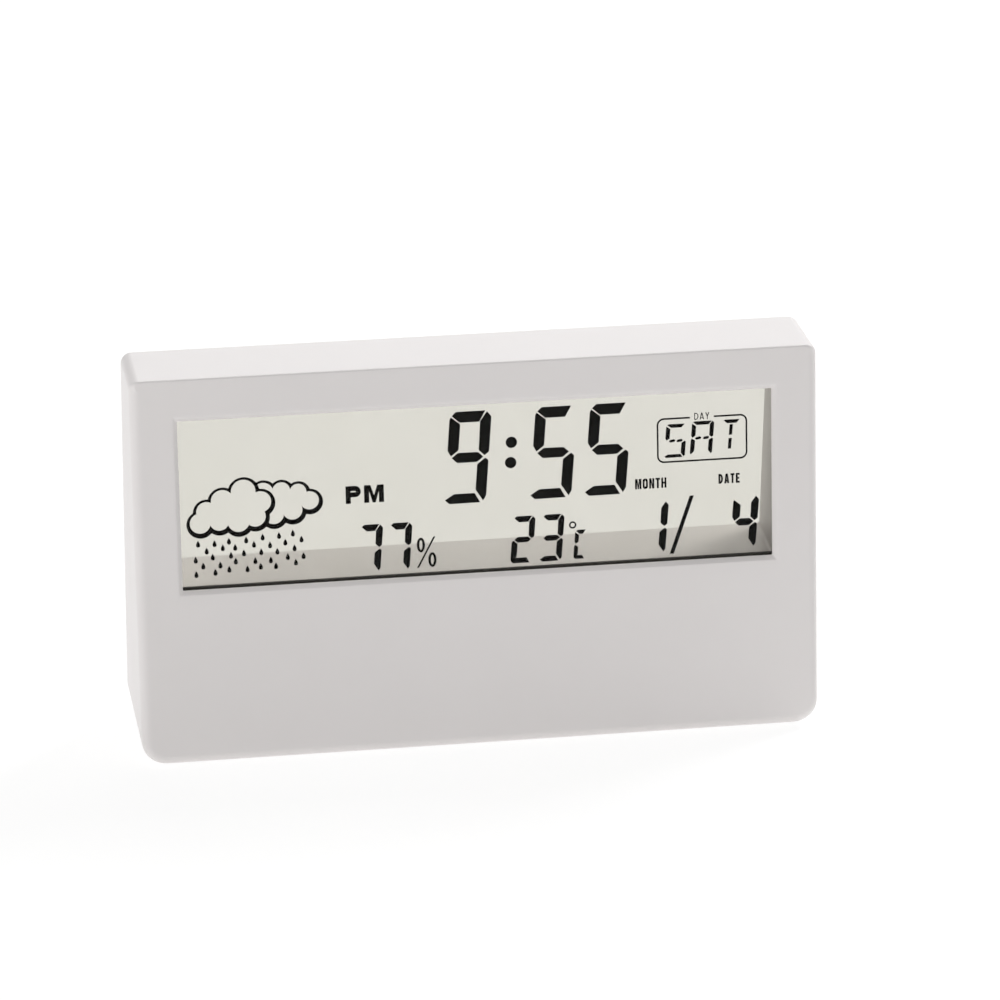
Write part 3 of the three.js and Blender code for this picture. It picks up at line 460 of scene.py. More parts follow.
wall_top = FACE_LENGTH - WALL / math.cos(LEAN)
for x in HOOK_PLACES:
    half = HOOK_WIDTH / 2 + FIT_GAP
    cuts.append(slab(REAR, rect(x - half, x + half, wall_top - PAST, wall_top + HOOK_SLOT_RISE),
                     *HOOK_SLOT_DEPTHS))
for foot in FEET:
    cuts.append(rod(2, centre(foot).xy, FOOT_SOCKET, -PAST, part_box(foot)[1].z + BOND_GAP))
piece("shell_moulding", ["front_shell"], worked(loft(shell_rings, wrap=True), joins, cuts), white_abs,
      "white_abs")


# Feet. Four round pads of soft grey silicone, moulded with a broken edge. They are bonded into the sockets in
# the base and stand a little below it.
PAD_EDGE, PAD_FLAT = 0.3 * MM, 0.6 * MM


def turned(profile, put, steps=40, wrap=False):
    """A solid of revolution. profile lists radii and places along the axis, and wrapped it closes on itself.
    put maps two offsets across the axis and the place along it to points."""
    radius, along = np.asarray(profile, float).T[:, :, None]
    turn = np.linspace(0, 2 * math.pi, steps, endpoint=False)
    return loft(put(radius * np.cos(turn), radius * np.sin(turn), along + 0 * turn), wrap)


def arc(across, along, radius, start, end, steps=5):
    """Points of a round stretch in a profile, from one angle to another in degrees."""
    turn = np.radians(np.linspace(start, end, steps))
    return list(zip(across + radius * np.cos(turn), along + radius * np.sin(turn)))


# Silicone: grey rubber, matt from a blasted mould, with dust-fine speckle.
grey_silicone = moulded("moulded_grey_silicone", "8B8B88", "7F7F7C", 0.62, grain=0.3 * MM)

for foot in FEET:
    low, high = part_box(foot)
    axis, flat = (low + high) / 2, (high.x - low.x) / 2 - PAD_EDGE
    pad = turned([(flat - PAD_FLAT, low.z), *arc(flat, low.z + PAD_EDGE, PAD_EDGE, -90, 0),
                  *arc(flat, high.z - PAD_EDGE, PAD_EDGE, 0, 90)],
                 lambda a, b, along: np.stack([axis.x + a, axis.y + b, along], -1))
    piece(foot + "_pad", [foot], pad, grey_silicone, "grey_silicone")


# Display. A clear acrylic lens, a foam gasket, the liquid crystal cell with a polarising film on each face,
# and a clear rear lens, stacked and clamped behind the window. The cell's four sheets are one laminate: its
# front glass reaches lower than the rest, and the ribbon is bonded to that ledge.
FOAM_CELL = 0.25 * MM


def clear(name, tint, shade, reflection, smear):
    """A clear sheet: what is behind shows through a faint tint, under a weak mirror reflection whose
    sharpness is uneven with handling. smear is the size of the uneven patches."""
    material, tree = new_material(name)
    place = add(tree, "ShaderNodeTexCoord", output="Object")
    patches = add(tree, "ShaderNodeTexNoise", {"Vector": place, "Scale": 1 / smear, "Detail": 4.0})
    colour = add(tree, "ShaderNodeMix", {"Factor": patches, "A": srgb(tint), "B": srgb(shade)},
                 data_type="RGBA")
    through = add(tree, "ShaderNodeBsdfTransparent", {"Color": colour})
    gloss = add(tree, "ShaderNodeMapRange", {"Value": patches, "To Min": 0.02, "To Max": 0.09})
    mirror = add(tree, "ShaderNodeBsdfGlossy", {"Color": srgb("FFFFFF"), "Roughness": gloss})
    fresnel = add(tree, "ShaderNodeFresnel", {"IOR": 1.49})
    share = add(tree, "ShaderNodeMath", {0: fresnel, 1: reflection}, operation="MULTIPLY")
    sheet = add(tree, "ShaderNodeMixShader", {0: share, 1: through, 2: mirror})
    add(tree, "ShaderNodeOutputMaterial", {"Surface": sheet})
    return material


# Acrylic: cast sheet with a hard anti-glare coat, so it reflects less than bare acrylic does.
clear_acrylic = clear("clear_acrylic_sheet", "FEFEFE", "FCFCFC", 0.1, 9 * MM)
# Polarised glass: the two films take about a sixth of the light at each face and leave a warm olive tint.
display_laminate = clear("polarised_display_glass", "EEEDE9", "ECEBE6", 0.04, 14 * MM)

# Foam: charcoal closed-cell polyurethane tape, die-cut to a frame. It is matt, with round cells in relief.
# Painted shade darkens the sunk middle of each cell.
charcoal_foam, tree = new_material("charcoal_foam_tape")
place = add(tree, "ShaderNodeTexCoord", output="Object")
cells = add(tree, "ShaderNodeTexVoronoi", {"Vector": place, "Scale": 1 / FOAM_CELL}, output="Distance")
opaque(tree, cells, srgb("383631"), srgb("504E48"), {"Roughness": 0.95}, cells, FOAM_CELL / 2)

for node, material in (("front_lens", clear_acrylic), ("rear_lens", clear_acrylic),
                       ("screen_gasket", charcoal_foam)):
    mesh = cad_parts[node].data
    mesh.materials.clear()
    mesh.materials.append(material)

front_film, rear_film = span("front_polariser", FRONT)[0][1], span("rear_polariser", FRONT)[2][1]
step_front, step_rear = glass_low[1], glass_high[1]
step_up, sheet_low, sheet_high = glass_low[2], rear_glass_low[2], glass_high[2]
laminate = crosswise(FRONT, [
    (front_film, sheet_low), (step_front, sheet_low), (step_front, step_up), (step_rear, step_up),
    (step_rear, sheet_low), (rear_film, sheet_low), (rear_film, sheet_high), (front_film, sheet_high)],
    glass_low[0], glass_high[0])
piece("display_cell", ["front_polariser", "lcd_front_glass", "lcd_rear_glass", "rear_polariser"], laminate,
      display_laminate, "display_glass")


# Figures. What the liquid crystal shows: flat dark electrodes between the two glasses, in millimetres across
# and up the front face. The time, the humidity, the temperature and the date are bars of seven or fourteen
# segments that lean a little to the right.
INK_DEPTHS = (step_rear + 0.03 * MM, step_rear + 0.12 * MM)
SLANT = 0.086
LIT = {"1": "bc", "2": "abged", "3": "abgcd", "4": "fgbc", "5": "afgcd", "7": "abc", "9": "abcdfg",
       "C": "afed"}
LETTER_HEIGHT, LETTER_STROKE, LETTER_SQUASH, LETTER_GAP = 7.0, 0.88, 0.84, 0.5
DASH_PLACES, POST_PLACE, POST_RISES, MOTTLE = (0.2, 0.56), 0.46, (0.3, -2.6), 1.5 * MM
DASH = np.array([(-0.08, -0.16), (0.22, -0.33), (1.05, -0.22), (1.22, 0.12), (0.95, 0.33), (0.12, 0.2)])
POST = rect(-0.33, 0.33, 0, 2.2)


def inlay(outline):
    """A flat electrode with an outline given in millimetres across and up."""
    return slab(FRONT, np.asarray(outline, float) * MM, *INK_DEPTHS)


def band(outer, inner, wrap=False):
    """A flat electrode between two lines of points, closed in a ring or open with square ends."""
    near, far = ([leaning(FRONT, line[:, 0] * MM, depth, line[:, 1] * MM) for line in (outer, inner)]
                 for depth in INK_DEPTHS)
    return loft(np.stack([near[0], near[1], far[1], far[0]], 1), wrap)


def bars(width, height, stroke, gap=0.36):
    """The seven bars of a figure, by their usual letters, as outlines from the figure's lower left corner.
    Free ends are pointed, and mitred ends leave a gap between bars."""
    w, h, s, mid = width, height, stroke, height / 2
    aside, above = 0.23 * gap, 0.3 * gap
    bottom_right = np.array([
        (w - 0.3 * s, mid - 0.12 * s), (w, mid - 0.37 * s), (w, 0.63 * s), (w - 0.25 * s, 0.17 * s),
        (w - s, 1.2 * s), (w - s, mid - 0.68 * s)])
    return {
        "a": [(0.13 * s + aside, h - 0.42 * s + above), (0.55 * s, h), (w - 0.6 * s, h),
              (w - s - gap / 2, h - s), (0.85 * s + 2 * aside, h - s)],
        "b": [(w - 0.43 * s, h - 0.08 * s), (w, h - 0.57 * s), (w, mid + 0.45 * s),
              (w - 0.4 * s, mid + 0.12 * s), (w - 0.95 * s, mid + 0.62 * s), (w - s, h - 0.95 * s)],
        "c": bottom_right,
        "d": [(0.06 * s, 0.37 * s), (0.85 * s, 0.9 * s), (w - 1.07 * s, 0.9 * s), (w - 0.5 * s, 0.02 * s),
              (0.48 * s, 0)],
        "e": bottom_right * (-1, 1) + (w, 0),
        "f": [(0, h - 0.72 * s), (0.13 * s - aside, h - 0.42 * s - above), (s, h - 1.08 * s - 1.6 * above),
              (s, mid + 0.7 * s), (0.34 * s, mid + 0.17 * s), (0, mid + 0.7 * s)],
        "g": [(0.42 * s, mid), (0.98 * s, mid + 0.46 * s), (w - s, mid + 0.44 * s), (w - 0.5 * s, mid),
              (w - 1.05 * s, mid - 0.47 * s), (0.95 * s, mid - 0.47 * s)],
    }


def leaned(shape, x, up):
    """An outline moved to a place, its points slid right in step with their height."""
    shape = np.asarray(shape, float)
    return shape + np.stack([x + SLANT * shape[:, 1], np.full(len(shape), up)], 1)


def figures(text, x, up, width, height, stroke, pitch=0):
    """Figures in a row, a pitch apart, from a lower left corner."""
    shapes = bars(width, height, stroke)
    return [inlay(leaned(shapes[bar], x + i * pitch, up))
            for i, figure in enumerate(text) for bar in LIT[figure]]


def letter(lit, x, up, width):
    """A letter of fourteen segments: the seven outer bars, two slanting dashes in the middle (m) and two
    upright bars (t). Level bars are thinner than upright ones, so the seven are drawn taller and squashed."""
    outer = bars(width, LETTER_HEIGHT / LETTER_SQUASH, LETTER_STROKE, LETTER_GAP)
    shapes = {key: [np.array(shape) * (1, LETTER_SQUASH)] for key, shape in outer.items()}
    mid = LETTER_HEIGHT / 2
    shapes["m"] = [DASH + (place * width, mid) for place in DASH_PLACES]
    shapes["t"] = [POST + (POST_PLACE * width, mid + rise) for rise in POST_RISES]
    return [inlay(leaned(shape, x, up)) for bar in lit for shape in shapes[bar]]


def ring(x, up, half_width, half_height, line):
    """An upright oval ring about its middle line."""
    unit, size = circle(0, 0, 1), np.array([half_width, half_height])
    return band((x, up) + unit * (size + line / 2), (x, up) + unit * (size - line / 2), wrap=True)


def bar_between(start, end, width):
    """A straight bar with level ends."""
    (x0, up0), (x1, up1) = start, end
    return inlay([(x0 - width / 2, up0), (x0 + width / 2, up0), (x1 + width / 2, up1), (x1 - width / 2, up1)])


def framed(x0, x1, up0, up1, radius, line, gap):
    """A thin round-cornered frame with a gap in its top line for a label."""
    half = line / 2
    outer, inner = (rounded_loop(x0 - grow, x1 + grow, up0 - grow, up1 + grow, radius + grow)
                    for grow in (half, -half))
    keep = ~((inner[:, 1] > up1 - line) & (inner[:, 0] > gap[0]) & (inner[:, 0] < gap[1]))
    order = np.roll(np.arange(len(keep)), -np.flatnonzero(~keep)[-1] - 1)
    order = order[keep[order]]
    return band(*(np.concatenate([[(gap[0], level)], edge[order], [(gap[1], level)]])
                  for edge, level in ((outer, up1 + half), (inner, up1 - half))))


# Liquid crystal between crossed polarisers: it stops nearly all light, and stays a very dark warm grey.
dark_crystal, tree = new_material("dark_liquid_crystal")
place = add(tree, "ShaderNodeTexCoord", output="Object")
mottle = add(tree, "ShaderNodeTexNoise", {"Vector": place, "Scale": 1 / MOTTLE, "Detail": 3.0})
opaque(tree, mottle, srgb("0B0A09"), srgb("151412"), {"Roughness": 0.8, "Specular IOR Level": 0.0})


def legend_piece(name, solids):
    """One group of lit figures, which stays with the case."""
    piece(name, [], joined(solids), dark_crystal, "black_plastic", crease=80)


# Each row of figures has its left and base, the width, height and stroke of a figure, and the pitch.
legend_piece("time_figures", [
    *figures("9", -6.55, 50.42, 8.55, 19.15, 2.25), *figures("55", 11.02, 50.42, 8.6, 19.15, 2.25, 11.25),
    inlay(circle(7.52, 62.6, 1.17)), inlay(circle(7.30, 58.37, 1.17))])
legend_piece("humidity_figures", [
    *figures("77", -24.6, 37.15, 4.65, 10.0, 1.4, 6.0), ring(-11.5, 42.2, 0.58, 1.28, 0.52),
    ring(-9.2, 39.0, 0.58, 1.28, 0.52), bar_between((-12.2, 37.45), (-8.7, 43.85), 0.38)])
legend_piece("temperature_figures", [
    *figures("23", 6.8, 37.15, 4.6, 9.85, 1.25, 6.0), ring(19.84, 44.5, 0.6, 0.6, 0.32),
    *figures("C", 19.85, 37.3, 2.65, 6.1, 0.85)])
legend_piece("date_figures", [
    *figures("1", 33.55, 37.45, 5.4, 10.95, 1.5), *figures("4", 52.45, 37.5, 5.35, 11.0, 1.6),
    bar_between((40.35, 37.15), (44.65, 49.2), 0.85)])
legend_piece("weekday_letters", [
    *letter("afmcd", 38.95, 57.45, 4.3), *letter("abcefm", 44.3, 57.75, 4.6),
    *letter("at", 50.65, 57.75, 4.0), framed(37.7, 56.15, 56.57, 65.62, 1.3, 0.34, (44.41, 49.39))])

# Words. Plain drawn capitals, whose widths keep these shares of each other.
LETTER_SHARES = {"A": 1.1, "D": 1.0, "E": 0.85, "H": 1.05, "M": 1.3, "N": 1.05, "O": 1.05, "P": 1.0,
                 "T": 0.9, "Y": 1.0}


def bowl(w, low, high, s):
    """The outer and inner lines of a bowl: an upright at its left and half an oval at its right."""
    turn = np.linspace(-math.pi / 2, math.pi / 2, 12)
    middle, half = (low + high) / 2, (high - low) / 2
    round_part = min(half, 0.65 * w)
    lines = []
    for inset in (0, s):
        oval = np.stack([w - round_part + (round_part - inset) * np.cos(turn),
                         middle + (half - inset) * np.sin(turn)], 1)
        lines.append(np.array([(inset, low + inset), *oval, (inset, high - inset)]))
    return lines


def capital(name, x, up, w, h, s):
    """A plain capital letter with strokes s wide, from its lower left corner. Bowls and rings are bands.
    Straight letters are outlines given by one half: the other is its half turn (H, N) or its mirror image,
    downwards in E and sideways in the rest."""
    place, half, mid = (x, up), w / 2, h / 2
    if name == "O":
        outer, inner = (rounded_loop(i, w - i, i, h - i, 0.45 * w - i / 2) for i in (0, s))
        return [band(outer + place, inner + place, wrap=True)]
    if name in "DP":
        low = 0 if name == "D" else 0.36 * h
        outer, inner = bowl(w, low, h, s)
        foot = [inlay(rect(0, s, 0, low) + place)] if name == "P" else []
        return [band(outer + place, inner + place, wrap=True), *foot]
    points = {
        "A": [(half, 0.74 * h), (1.1 * s, 0), (0, 0), (half - 0.6 * s, h)],
        "E": [(0, h), (w, h), (w, h - s), (s, h - s), (s, mid + s / 2), (0.85 * w, mid + s / 2)],
        "H": [(0, 0), (0, h), (s, h), (s, mid + s / 2), (w - s, mid + s / 2), (w - s, h)],
        "M": [(half - 0.3 * s, 0), (s, 0.66 * h), (s, 0), (0, 0), (0, h), (1.3 * s, h), (half, 0.4 * h)],
        "N": [(0, 0), (0, h), (1.15 * s, h), (w - s, 0.4 * h), (w - s, h)],
        "T": [(half - s / 2, 0), (half - s / 2, h - s), (0, h - s), (0, h)],
        "Y": [(half - s / 2, 0), (half - s / 2, 0.42 * h), (0, h), (1.15 * s, h), (half, 0.6 * h)],
    }[name]
    if name in "HN":
        points += [(w - a, h - b) for a, b in points]
    elif name == "E":
        points += [(a, h - b) for a, b in points[::-1]]
    else:
        points += [(w - a, b) for a, b in points[::-1] if a < half]
    solids = [inlay(np.array(points) + place)]
    if name == "A":
        low, high = 0.18 * h, 0.18 * h + 0.8 * s
        edge = [1.1 * s + (half - 1.1 * s) * level / (0.74 * h) for level in (low, high)]
        bar = np.array([(edge[0], low), (w - edge[0], low), (w - edge[1], high), (edge[1], high)])
        solids.append(inlay(bar + place))
    return solids


def word(text, x0, x1, up0, up1, stroke, gap):
    """A word that fills a box, its letters in their usual proportions."""
    unit = (x1 - x0 - gap * (len(text) - 1)) / sum(LETTER_SHARES[name] for name in text)
    solids, x = [], x0
    for name in text:
        width = LETTER_SHARES[name] * unit
        solids += capital(name, x, up0, width, up1 - up0, stroke)
        x += width + gap
    return solids


legend_piece("afternoon_word", word("PM", -26.6, -18.8, 51.75, 55.4, 1.02, 0.65))
legend_piece("month_word", word("MONTH", 32.9, 39.4, 51.2, 53.35, 0.38, 0.28))
legend_piece("date_word", word("DATE", 50.25, 54.65, 51.35, 53.4, 0.38, 0.28))
legend_piece("day_word", word("DAY", 45.35, 48.45, 65.1, 66.55, 0.16, 0.25))

# Weather symbol: two clouds drawn as round lobes, the further one partly hidden, and rain in staggered rows.
# Lobes are given as across, up and radius, anticlockwise round the cloud.
NEAR_CLOUD = np.array([(-56.2, 49.2, 2.5), (-52.3, 49.5, 2.4), (-48.4, 49.2, 2.6), (-45.0, 50.0, 2.5),
                       (-43.9, 53.0, 2.6), (-47.3, 55.3, 2.9), (-51.6, 53.6, 2.7), (-54.9, 51.6, 2.4)])
FAR_CLOUD = np.array([(-45.0, 50.0, 2.5), (-41.2, 50.2, 2.4), (-37.4, 50.9, 2.4), (-33.9, 52.7, 2.3),
                      (-36.2, 54.6, 2.1), (-39.6, 55.0, 2.2), (-43.3, 54.8, 2.5), (-47.3, 55.3, 2.9)])
LOBE_STEPS, CLOUD_LINE, INNER_SHIFT = 14, 0.38, (-0.08, 0.26)
DROP_ROWS, DROP_COLUMNS, DROP_PITCH, ROW_PITCH = 5, 7, 3.3, 1.55
RAIN_LEFT, RAIN_TOP, RAIN_SLOPE, SLOPE_START = -57.3, 45.2, 0.05, -57
DROP_HALF_WIDTH, DROP_HALF_HEIGHT, DROP_TAPER, SIDE_SCATTER, RISE_SCATTER = 0.58, 0.72, 1.4, 0.5, 0.3


def crossing(here, after):
    """Where two lobes cross, on the side to the right of the way from one to the next."""
    way = after[:2] - here[:2]
    distance = np.hypot(*way)
    way = way / distance
    along = (here[2] ** 2 - after[2] ** 2 + distance ** 2) / (2 * distance)
    aside = math.sqrt(here[2] ** 2 - along ** 2)
    return here[:2] + along * way + aside * np.array([way[1], -way[0]])


def lobed(lobes, grow, shift, whole):
    """The outline of a cloud: an arc of each lobe from its crossing with the last lobe to that with the next.
    An outline that isn't whole leaves out its first and last lobe."""
    lobes = lobes + (*shift, grow)
    trios = list(zip(np.roll(lobes, 1, axis=0), lobes, np.roll(lobes, -1, axis=0)))
    line = []
    for before, here, after in trios if whole else trios[1:-1]:
        first, last = (math.atan2(*(place - here[:2])[::-1])
                       for place in (crossing(before, here), crossing(here, after)))
        turn = first + (last - first) % (2 * math.pi) * np.linspace(0, 1, LOBE_STEPS, endpoint=not whole)
        line.append(here[:2] + here[2] * np.stack([np.cos(turn), np.sin(turn)], 1))
    return np.concatenate(line)


def cloud(lobes, whole):
    """A cloud's line, thicker below because its inner edge is moved up and to the left."""
    return band(lobed(lobes, CLOUD_LINE, (0, 0), whole), lobed(lobes, -CLOUD_LINE, INNER_SHIFT, whole), whole)


def raindrops():
    """Pointed drops in rows that start half a pitch apart, each a little out of line."""
    scatter = np.random.default_rng(4)
    turn = np.linspace(0, 2 * math.pi, 18, endpoint=False)
    drop = np.stack([DROP_HALF_WIDTH * np.sin(turn) * np.sin(turn / 2) ** DROP_TAPER,
                     DROP_HALF_HEIGHT * np.cos(turn)], 1)
    solids = []
    for row in range(DROP_ROWS):
        for column in range(DROP_COLUMNS):
            x = RAIN_LEFT + DROP_PITCH * (column + row % 2 / 2)
            x += scatter.uniform(-SIDE_SCATTER, SIDE_SCATTER)
            up = RAIN_TOP - ROW_PITCH * row + RAIN_SLOPE * (x - SLOPE_START)
            up += scatter.uniform(-RISE_SCATTER, RISE_SCATTER)
            solids.append(inlay(drop + (x, up)))
    return solids


legend_piece("weather_symbol", [cloud(NEAR_CLOUD, True), cloud(FAR_CLOUD, False), *raindrops()])


# Rear cover. One white moulding inside the tub's rim: the plate, the tunnel that the eye looks through, the
# battery tray, wells for the case screws, posts for the circuit board and three hooks under the top edge. Its
# outer edges are broken, and it has holes for the buttons, the buzzer and the air to the sensor.
COVER_THICKNESS, COVER_INSET, PLATE_EDGE, RIM_BREAK = 2.0 * MM, 1.9 * MM, 0.25 * MM, 0.15 * MM
EDGE_SHOULDER, ALL_BUT_ROUND, VENT_ROUND = 0.3, 0.999, 0.998
TUNNEL_FRONT, TUNNEL_MARGIN, TUNNEL_WALL, TUNNEL_CORNER = 7.0 * MM, 1.3 * MM, 1.4 * MM, 0.6 * MM
TUNNEL_WALL_ENDS, TUNNEL_HOLLOW_ENDS = (0, 0.97), (-0.05, 1.05)
REAR_WINDOW_SIDE, REAR_WINDOW_HEAD, SILL_DROP = 6.3 * MM, 6.86 * MM, 3.7 * MM
BAY_WALL, BAY_FLOOR, DOOR_SEAT_GAP, CELL_GAP = 1.3 * MM, 1.2 * MM, 0.2 * MM, 0.25 * MM
DOOR_THICKNESS, DOOR_LEDGE, OPENING_CORNER = 1.5 * MM, 1.0 * MM, 0.8 * MM
WELL_RADIUS, WELL_WALL = 2.7 * MM, 0.9 * MM
POST_RADIUS, POST_PILOT = 2.2 * MM, 3.4 * MM
HOOK_THICKNESS, HOOK_REACH = 1.1 * MM, 1.0 * MM
TAB_WIDTH, TAB_INSET, TAB_THICKNESS, TAB_REACH = 6 * MM, 12 * MM, 1.0 * MM, 1.3 * MM
TAIL_SLOT_HALF, TAIL_SLOT_ENDS = 1.55 * MM, (-1.0 * MM, 0.1 * MM)
BUTTON_FLANGE, SOUND_HOLE, SOUND_RING = 1.0 * MM, 0.7 * MM, 3.2 * MM
VENT_WIDTH, VENT_HEIGHT, VENT_PITCH = 0.9 * MM, 6.0 * MM, 2.0 * MM
FOUR_ABOUT_MIDDLE = np.array([-1.5, -0.5, 0.5, 1.5])
WELD_REACH, FACE_TOLERANCE = 0.002 * MM, 0.01 * MM
FLAT_ANGLE, EDGE_ANGLE = math.radians(0.5), math.radians(35)

REAR_HALF = CASE_HALF - REAR_WINDOW_SIDE
REAR_BOTTOM, REAR_TOP = WINDOW_BOTTOM - SILL_DROP, FACE_LENGTH - REAR_WINDOW_HEAD


def tunnel(grow, start, end):
    """The tunnel's hollow, grown sideways, between two shares of the way from its front rim to its mouth. It
    widens evenly, with small round corners all the way."""
    corner = TUNNEL_CORNER + max(grow, 0)
    x, up = rounded_loop(-REAR_HALF - grow, REAR_HALF + grow, REAR_BOTTOM - grow, REAR_TOP + grow, corner).T
    rim, mouth = window_ring(TUNNEL_MARGIN + grow, TUNNEL_FRONT, corner), leaning(REAR, x, 0, up)
    return loft([between(rim, mouth, share) for share in (start, end)])


def capsule(x, up, half_width, half_height, share=ALL_BUT_ROUND):
    """An outline with half-round ends, whose radius is a share of the smaller half."""
    return rounded_loop(x - half_width, x + half_width, up - half_height, up + half_height,
                        share * min(half_width, half_height))


def box(across, depths, heights):
    """A block in the rear face's frame, from its two ends in each direction."""
    return slab(REAR, rect(*across, *heights), *depths)


def broken(solid, width, chosen=lambda a, b: True):
    """A solid with its edges rounded over, or those that a test picks by their two ends, as arrays."""
    mesh = mesh_of("work", solid)
    work = bmesh.new()
    work.from_mesh(mesh)
    bmesh.ops.remove_doubles(work, verts=work.verts, dist=WELD_REACH)
    bmesh.ops.dissolve_limit(work, angle_limit=FLAT_ANGLE, verts=work.verts, edges=work.edges)
    edges = [edge for edge in work.edges if len(edge.link_faces) == 2
             and edge.calc_face_angle() > EDGE_ANGLE
             and chosen(*(np.array(corner.co) for corner in edge.verts))]
    bmesh.ops.bevel(work, geom=edges, offset=width, segments=2, affect="EDGES", profile=0.5,
                    clamp_overlap=True)
    points = np.array([corner.co for corner in work.verts])
    work.verts.index_update()
    faces = [[corner.index for corner in face.verts] for face in work.faces]
    work.free()
    bpy.data.meshes.remove(mesh)
    return points, faces


def on_rear_face(a, b):
    """Whether an edge lies in the rear face."""
    return all(abs(point[1] - rear_y(point[2])) < FACE_TOLERANCE for point in (a, b))


plate, trim = case_loop(COVER_INSET).T, case_loop(COVER_INSET + PLATE_EDGE).T
cover_plate = loft([
    upright(REAR, *trim, 0),
    upright(REAR, *between(trim, plate, 1 - EDGE_SHOULDER), EDGE_SHOULDER * PLATE_EDGE),
    upright(REAR, *plate, PLATE_EDGE), upright(REAR, *plate, COVER_THICKNESS / math.cos(LEAN))])

lower_low, lower_middle, lower_high = span("aaa_cell_lower", REAR)
_, upper_middle, upper_high = span("aaa_cell_upper", REAR)
cell_axis, lower_row, upper_row = lower_middle[1], lower_middle[2], upper_middle[2]
door_high, link_low = span("battery_door", REAR)[2], span("link_contact", REAR)[0]
plus_high = span("positive_contact", REAR)[2]
board_low, _, board_high = span("circuit_board", REAR)
posts = [span(f"board_screw_{i}", REAR)[1][[0, 2]] for i in (1, 2)]
buttons = {key: span(f"{key}_button", REAR) for key in ("mode", "set", "up", "down")}
buzzer_low, buzzer_middle, buzzer_high = span("buzzer", REAR)
sensor_low, sensor_middle, sensor_high = span("humidity_sensor", REAR)

bay_left, bay_right = link_low[0] - FIT_GAP, plus_high[0] + FIT_GAP
bay_bottom, bay_top = lower_low[2] - CELL_GAP, upper_high[2] + CELL_GAP
bay_mouth, bay_deep = DOOR_THICKNESS + DOOR_SEAT_GAP, lower_high[1] + CELL_GAP
door_left, door_right = bay_left - DOOR_LEDGE, bay_right + DOOR_LEDGE
door_bottom, door_top = bay_bottom - DOOR_LEDGE, bay_top + DOOR_LEDGE
tab_places = (door_left + TAB_INSET, door_right - TAB_INSET)
through = (-PAST, COVER_THICKNESS + PAST)

joins = [
    tunnel(TUNNEL_WALL, *TUNNEL_WALL_ENDS),
    box((bay_left - BAY_WALL, bay_right + BAY_WALL), (bay_mouth, bay_deep + BAY_FLOOR),
        (bay_bottom - BAY_WALL, bay_top + BAY_WALL)),
    box((door_left - BAY_WALL, door_right + BAY_WALL), (bay_mouth, COVER_THICKNESS + BAY_WALL),
        (door_bottom - DOOR_LEDGE, door_top + DOOR_LEDGE)),
]
cuts = [
    tunnel(0, *TUNNEL_HOLLOW_ENDS),
    slab(REAR, rounded_loop(door_left - FIT_GAP, door_right + FIT_GAP, door_bottom - FIT_GAP,
                            door_top + FIT_GAP, OPENING_CORNER), bay_mouth, -PAST),
    box((bay_left, bay_right), (bay_deep, -PAST), (bay_bottom, bay_top)),
]
for x, z in screw_axes:
    seat = rear_y(z) - SCREW_SEAT
    joins.append(rod(1, (x, z), WELL_RADIUS + WELL_WALL, seat - SEAT_FLOOR, rear_y(z) - COVER_THICKNESS / 2))
    cuts.append(rod(1, (x, z), WELL_RADIUS, seat, rear_y(z) + 2 * PAST))
    cuts.append(rod(1, (x, z), PILOT_RADIUS, seat - SEAT_FLOOR - PAST, seat + PAST))
for post in posts:
    joins.append(slab(REAR, circle(*post, POST_RADIUS), COVER_THICKNESS / 2, board_low[1] - BOND_GAP))
    cuts.append(slab(REAR, circle(*post, PILOT_RADIUS), board_low[1] - POST_PILOT, board_low[1] + PAST))
for x in HOOK_PLACES:
    ends, under = (x - HOOK_WIDTH / 2, x + HOOK_WIDTH / 2), wall_top - FIT_GAP
    deep = COVER_THICKNESS + HOOK_THICKNESS + FIT_GAP
    joins.append(box(ends, (COVER_THICKNESS / 2, deep), (under - 2 * HOOK_THICKNESS, under)))
    joins.append(box(ends, (deep - HOOK_THICKNESS, deep), (under - HOOK_THICKNESS, wall_top + HOOK_REACH)))
for x in tab_places:
    ends = (x - TAB_WIDTH / 2 - FIT_GAP, x + TAB_WIDTH / 2 + FIT_GAP)
    notch_deep = 2 * COVER_THICKNESS + TAB_THICKNESS
    cuts.append(box(ends, (COVER_THICKNESS, notch_deep),
                    (door_bottom - TAB_REACH - FIT_GAP, bay_bottom + PAST)))
    cuts.append(box(ends, (0, notch_deep), (door_bottom - FIT_GAP, bay_bottom + PAST)))
for row in (lower_row, upper_row):
    cuts.append(box([bay_right + end for end in TAIL_SLOT_ENDS],
                    (bay_deep - PAST, bay_deep + BAY_FLOOR + PAST),
                    (row - TAIL_SLOT_HALF, row + TAIL_SLOT_HALF)))
for _, middle, high in buttons.values():
    half_width, _, half_height = high - middle - BUTTON_FLANGE + FIT_GAP
    cuts.append(slab(REAR, capsule(middle[0], middle[2], half_width, half_height), *through))
for x, up in [(0, 0), *circle(0, 0, SOUND_RING, 6)]:
    cuts.append(slab(REAR, circle(buzzer_middle[0] + x, buzzer_middle[2] + up, SOUND_HOLE, 20), *through))
for x in sensor_middle[0] + VENT_PITCH * FOUR_ABOUT_MIDDLE:
    vent = capsule(x, sensor_middle[2], VENT_WIDTH / 2, VENT_HEIGHT / 2, VENT_ROUND)
    cuts.append(slab(REAR, vent, *through))
cover = broken(worked(cover_plate, joins, cuts), RIM_BREAK, on_rear_face)
piece("rear_moulding", ["rear_cover"], cover, white_abs, "white_abs")


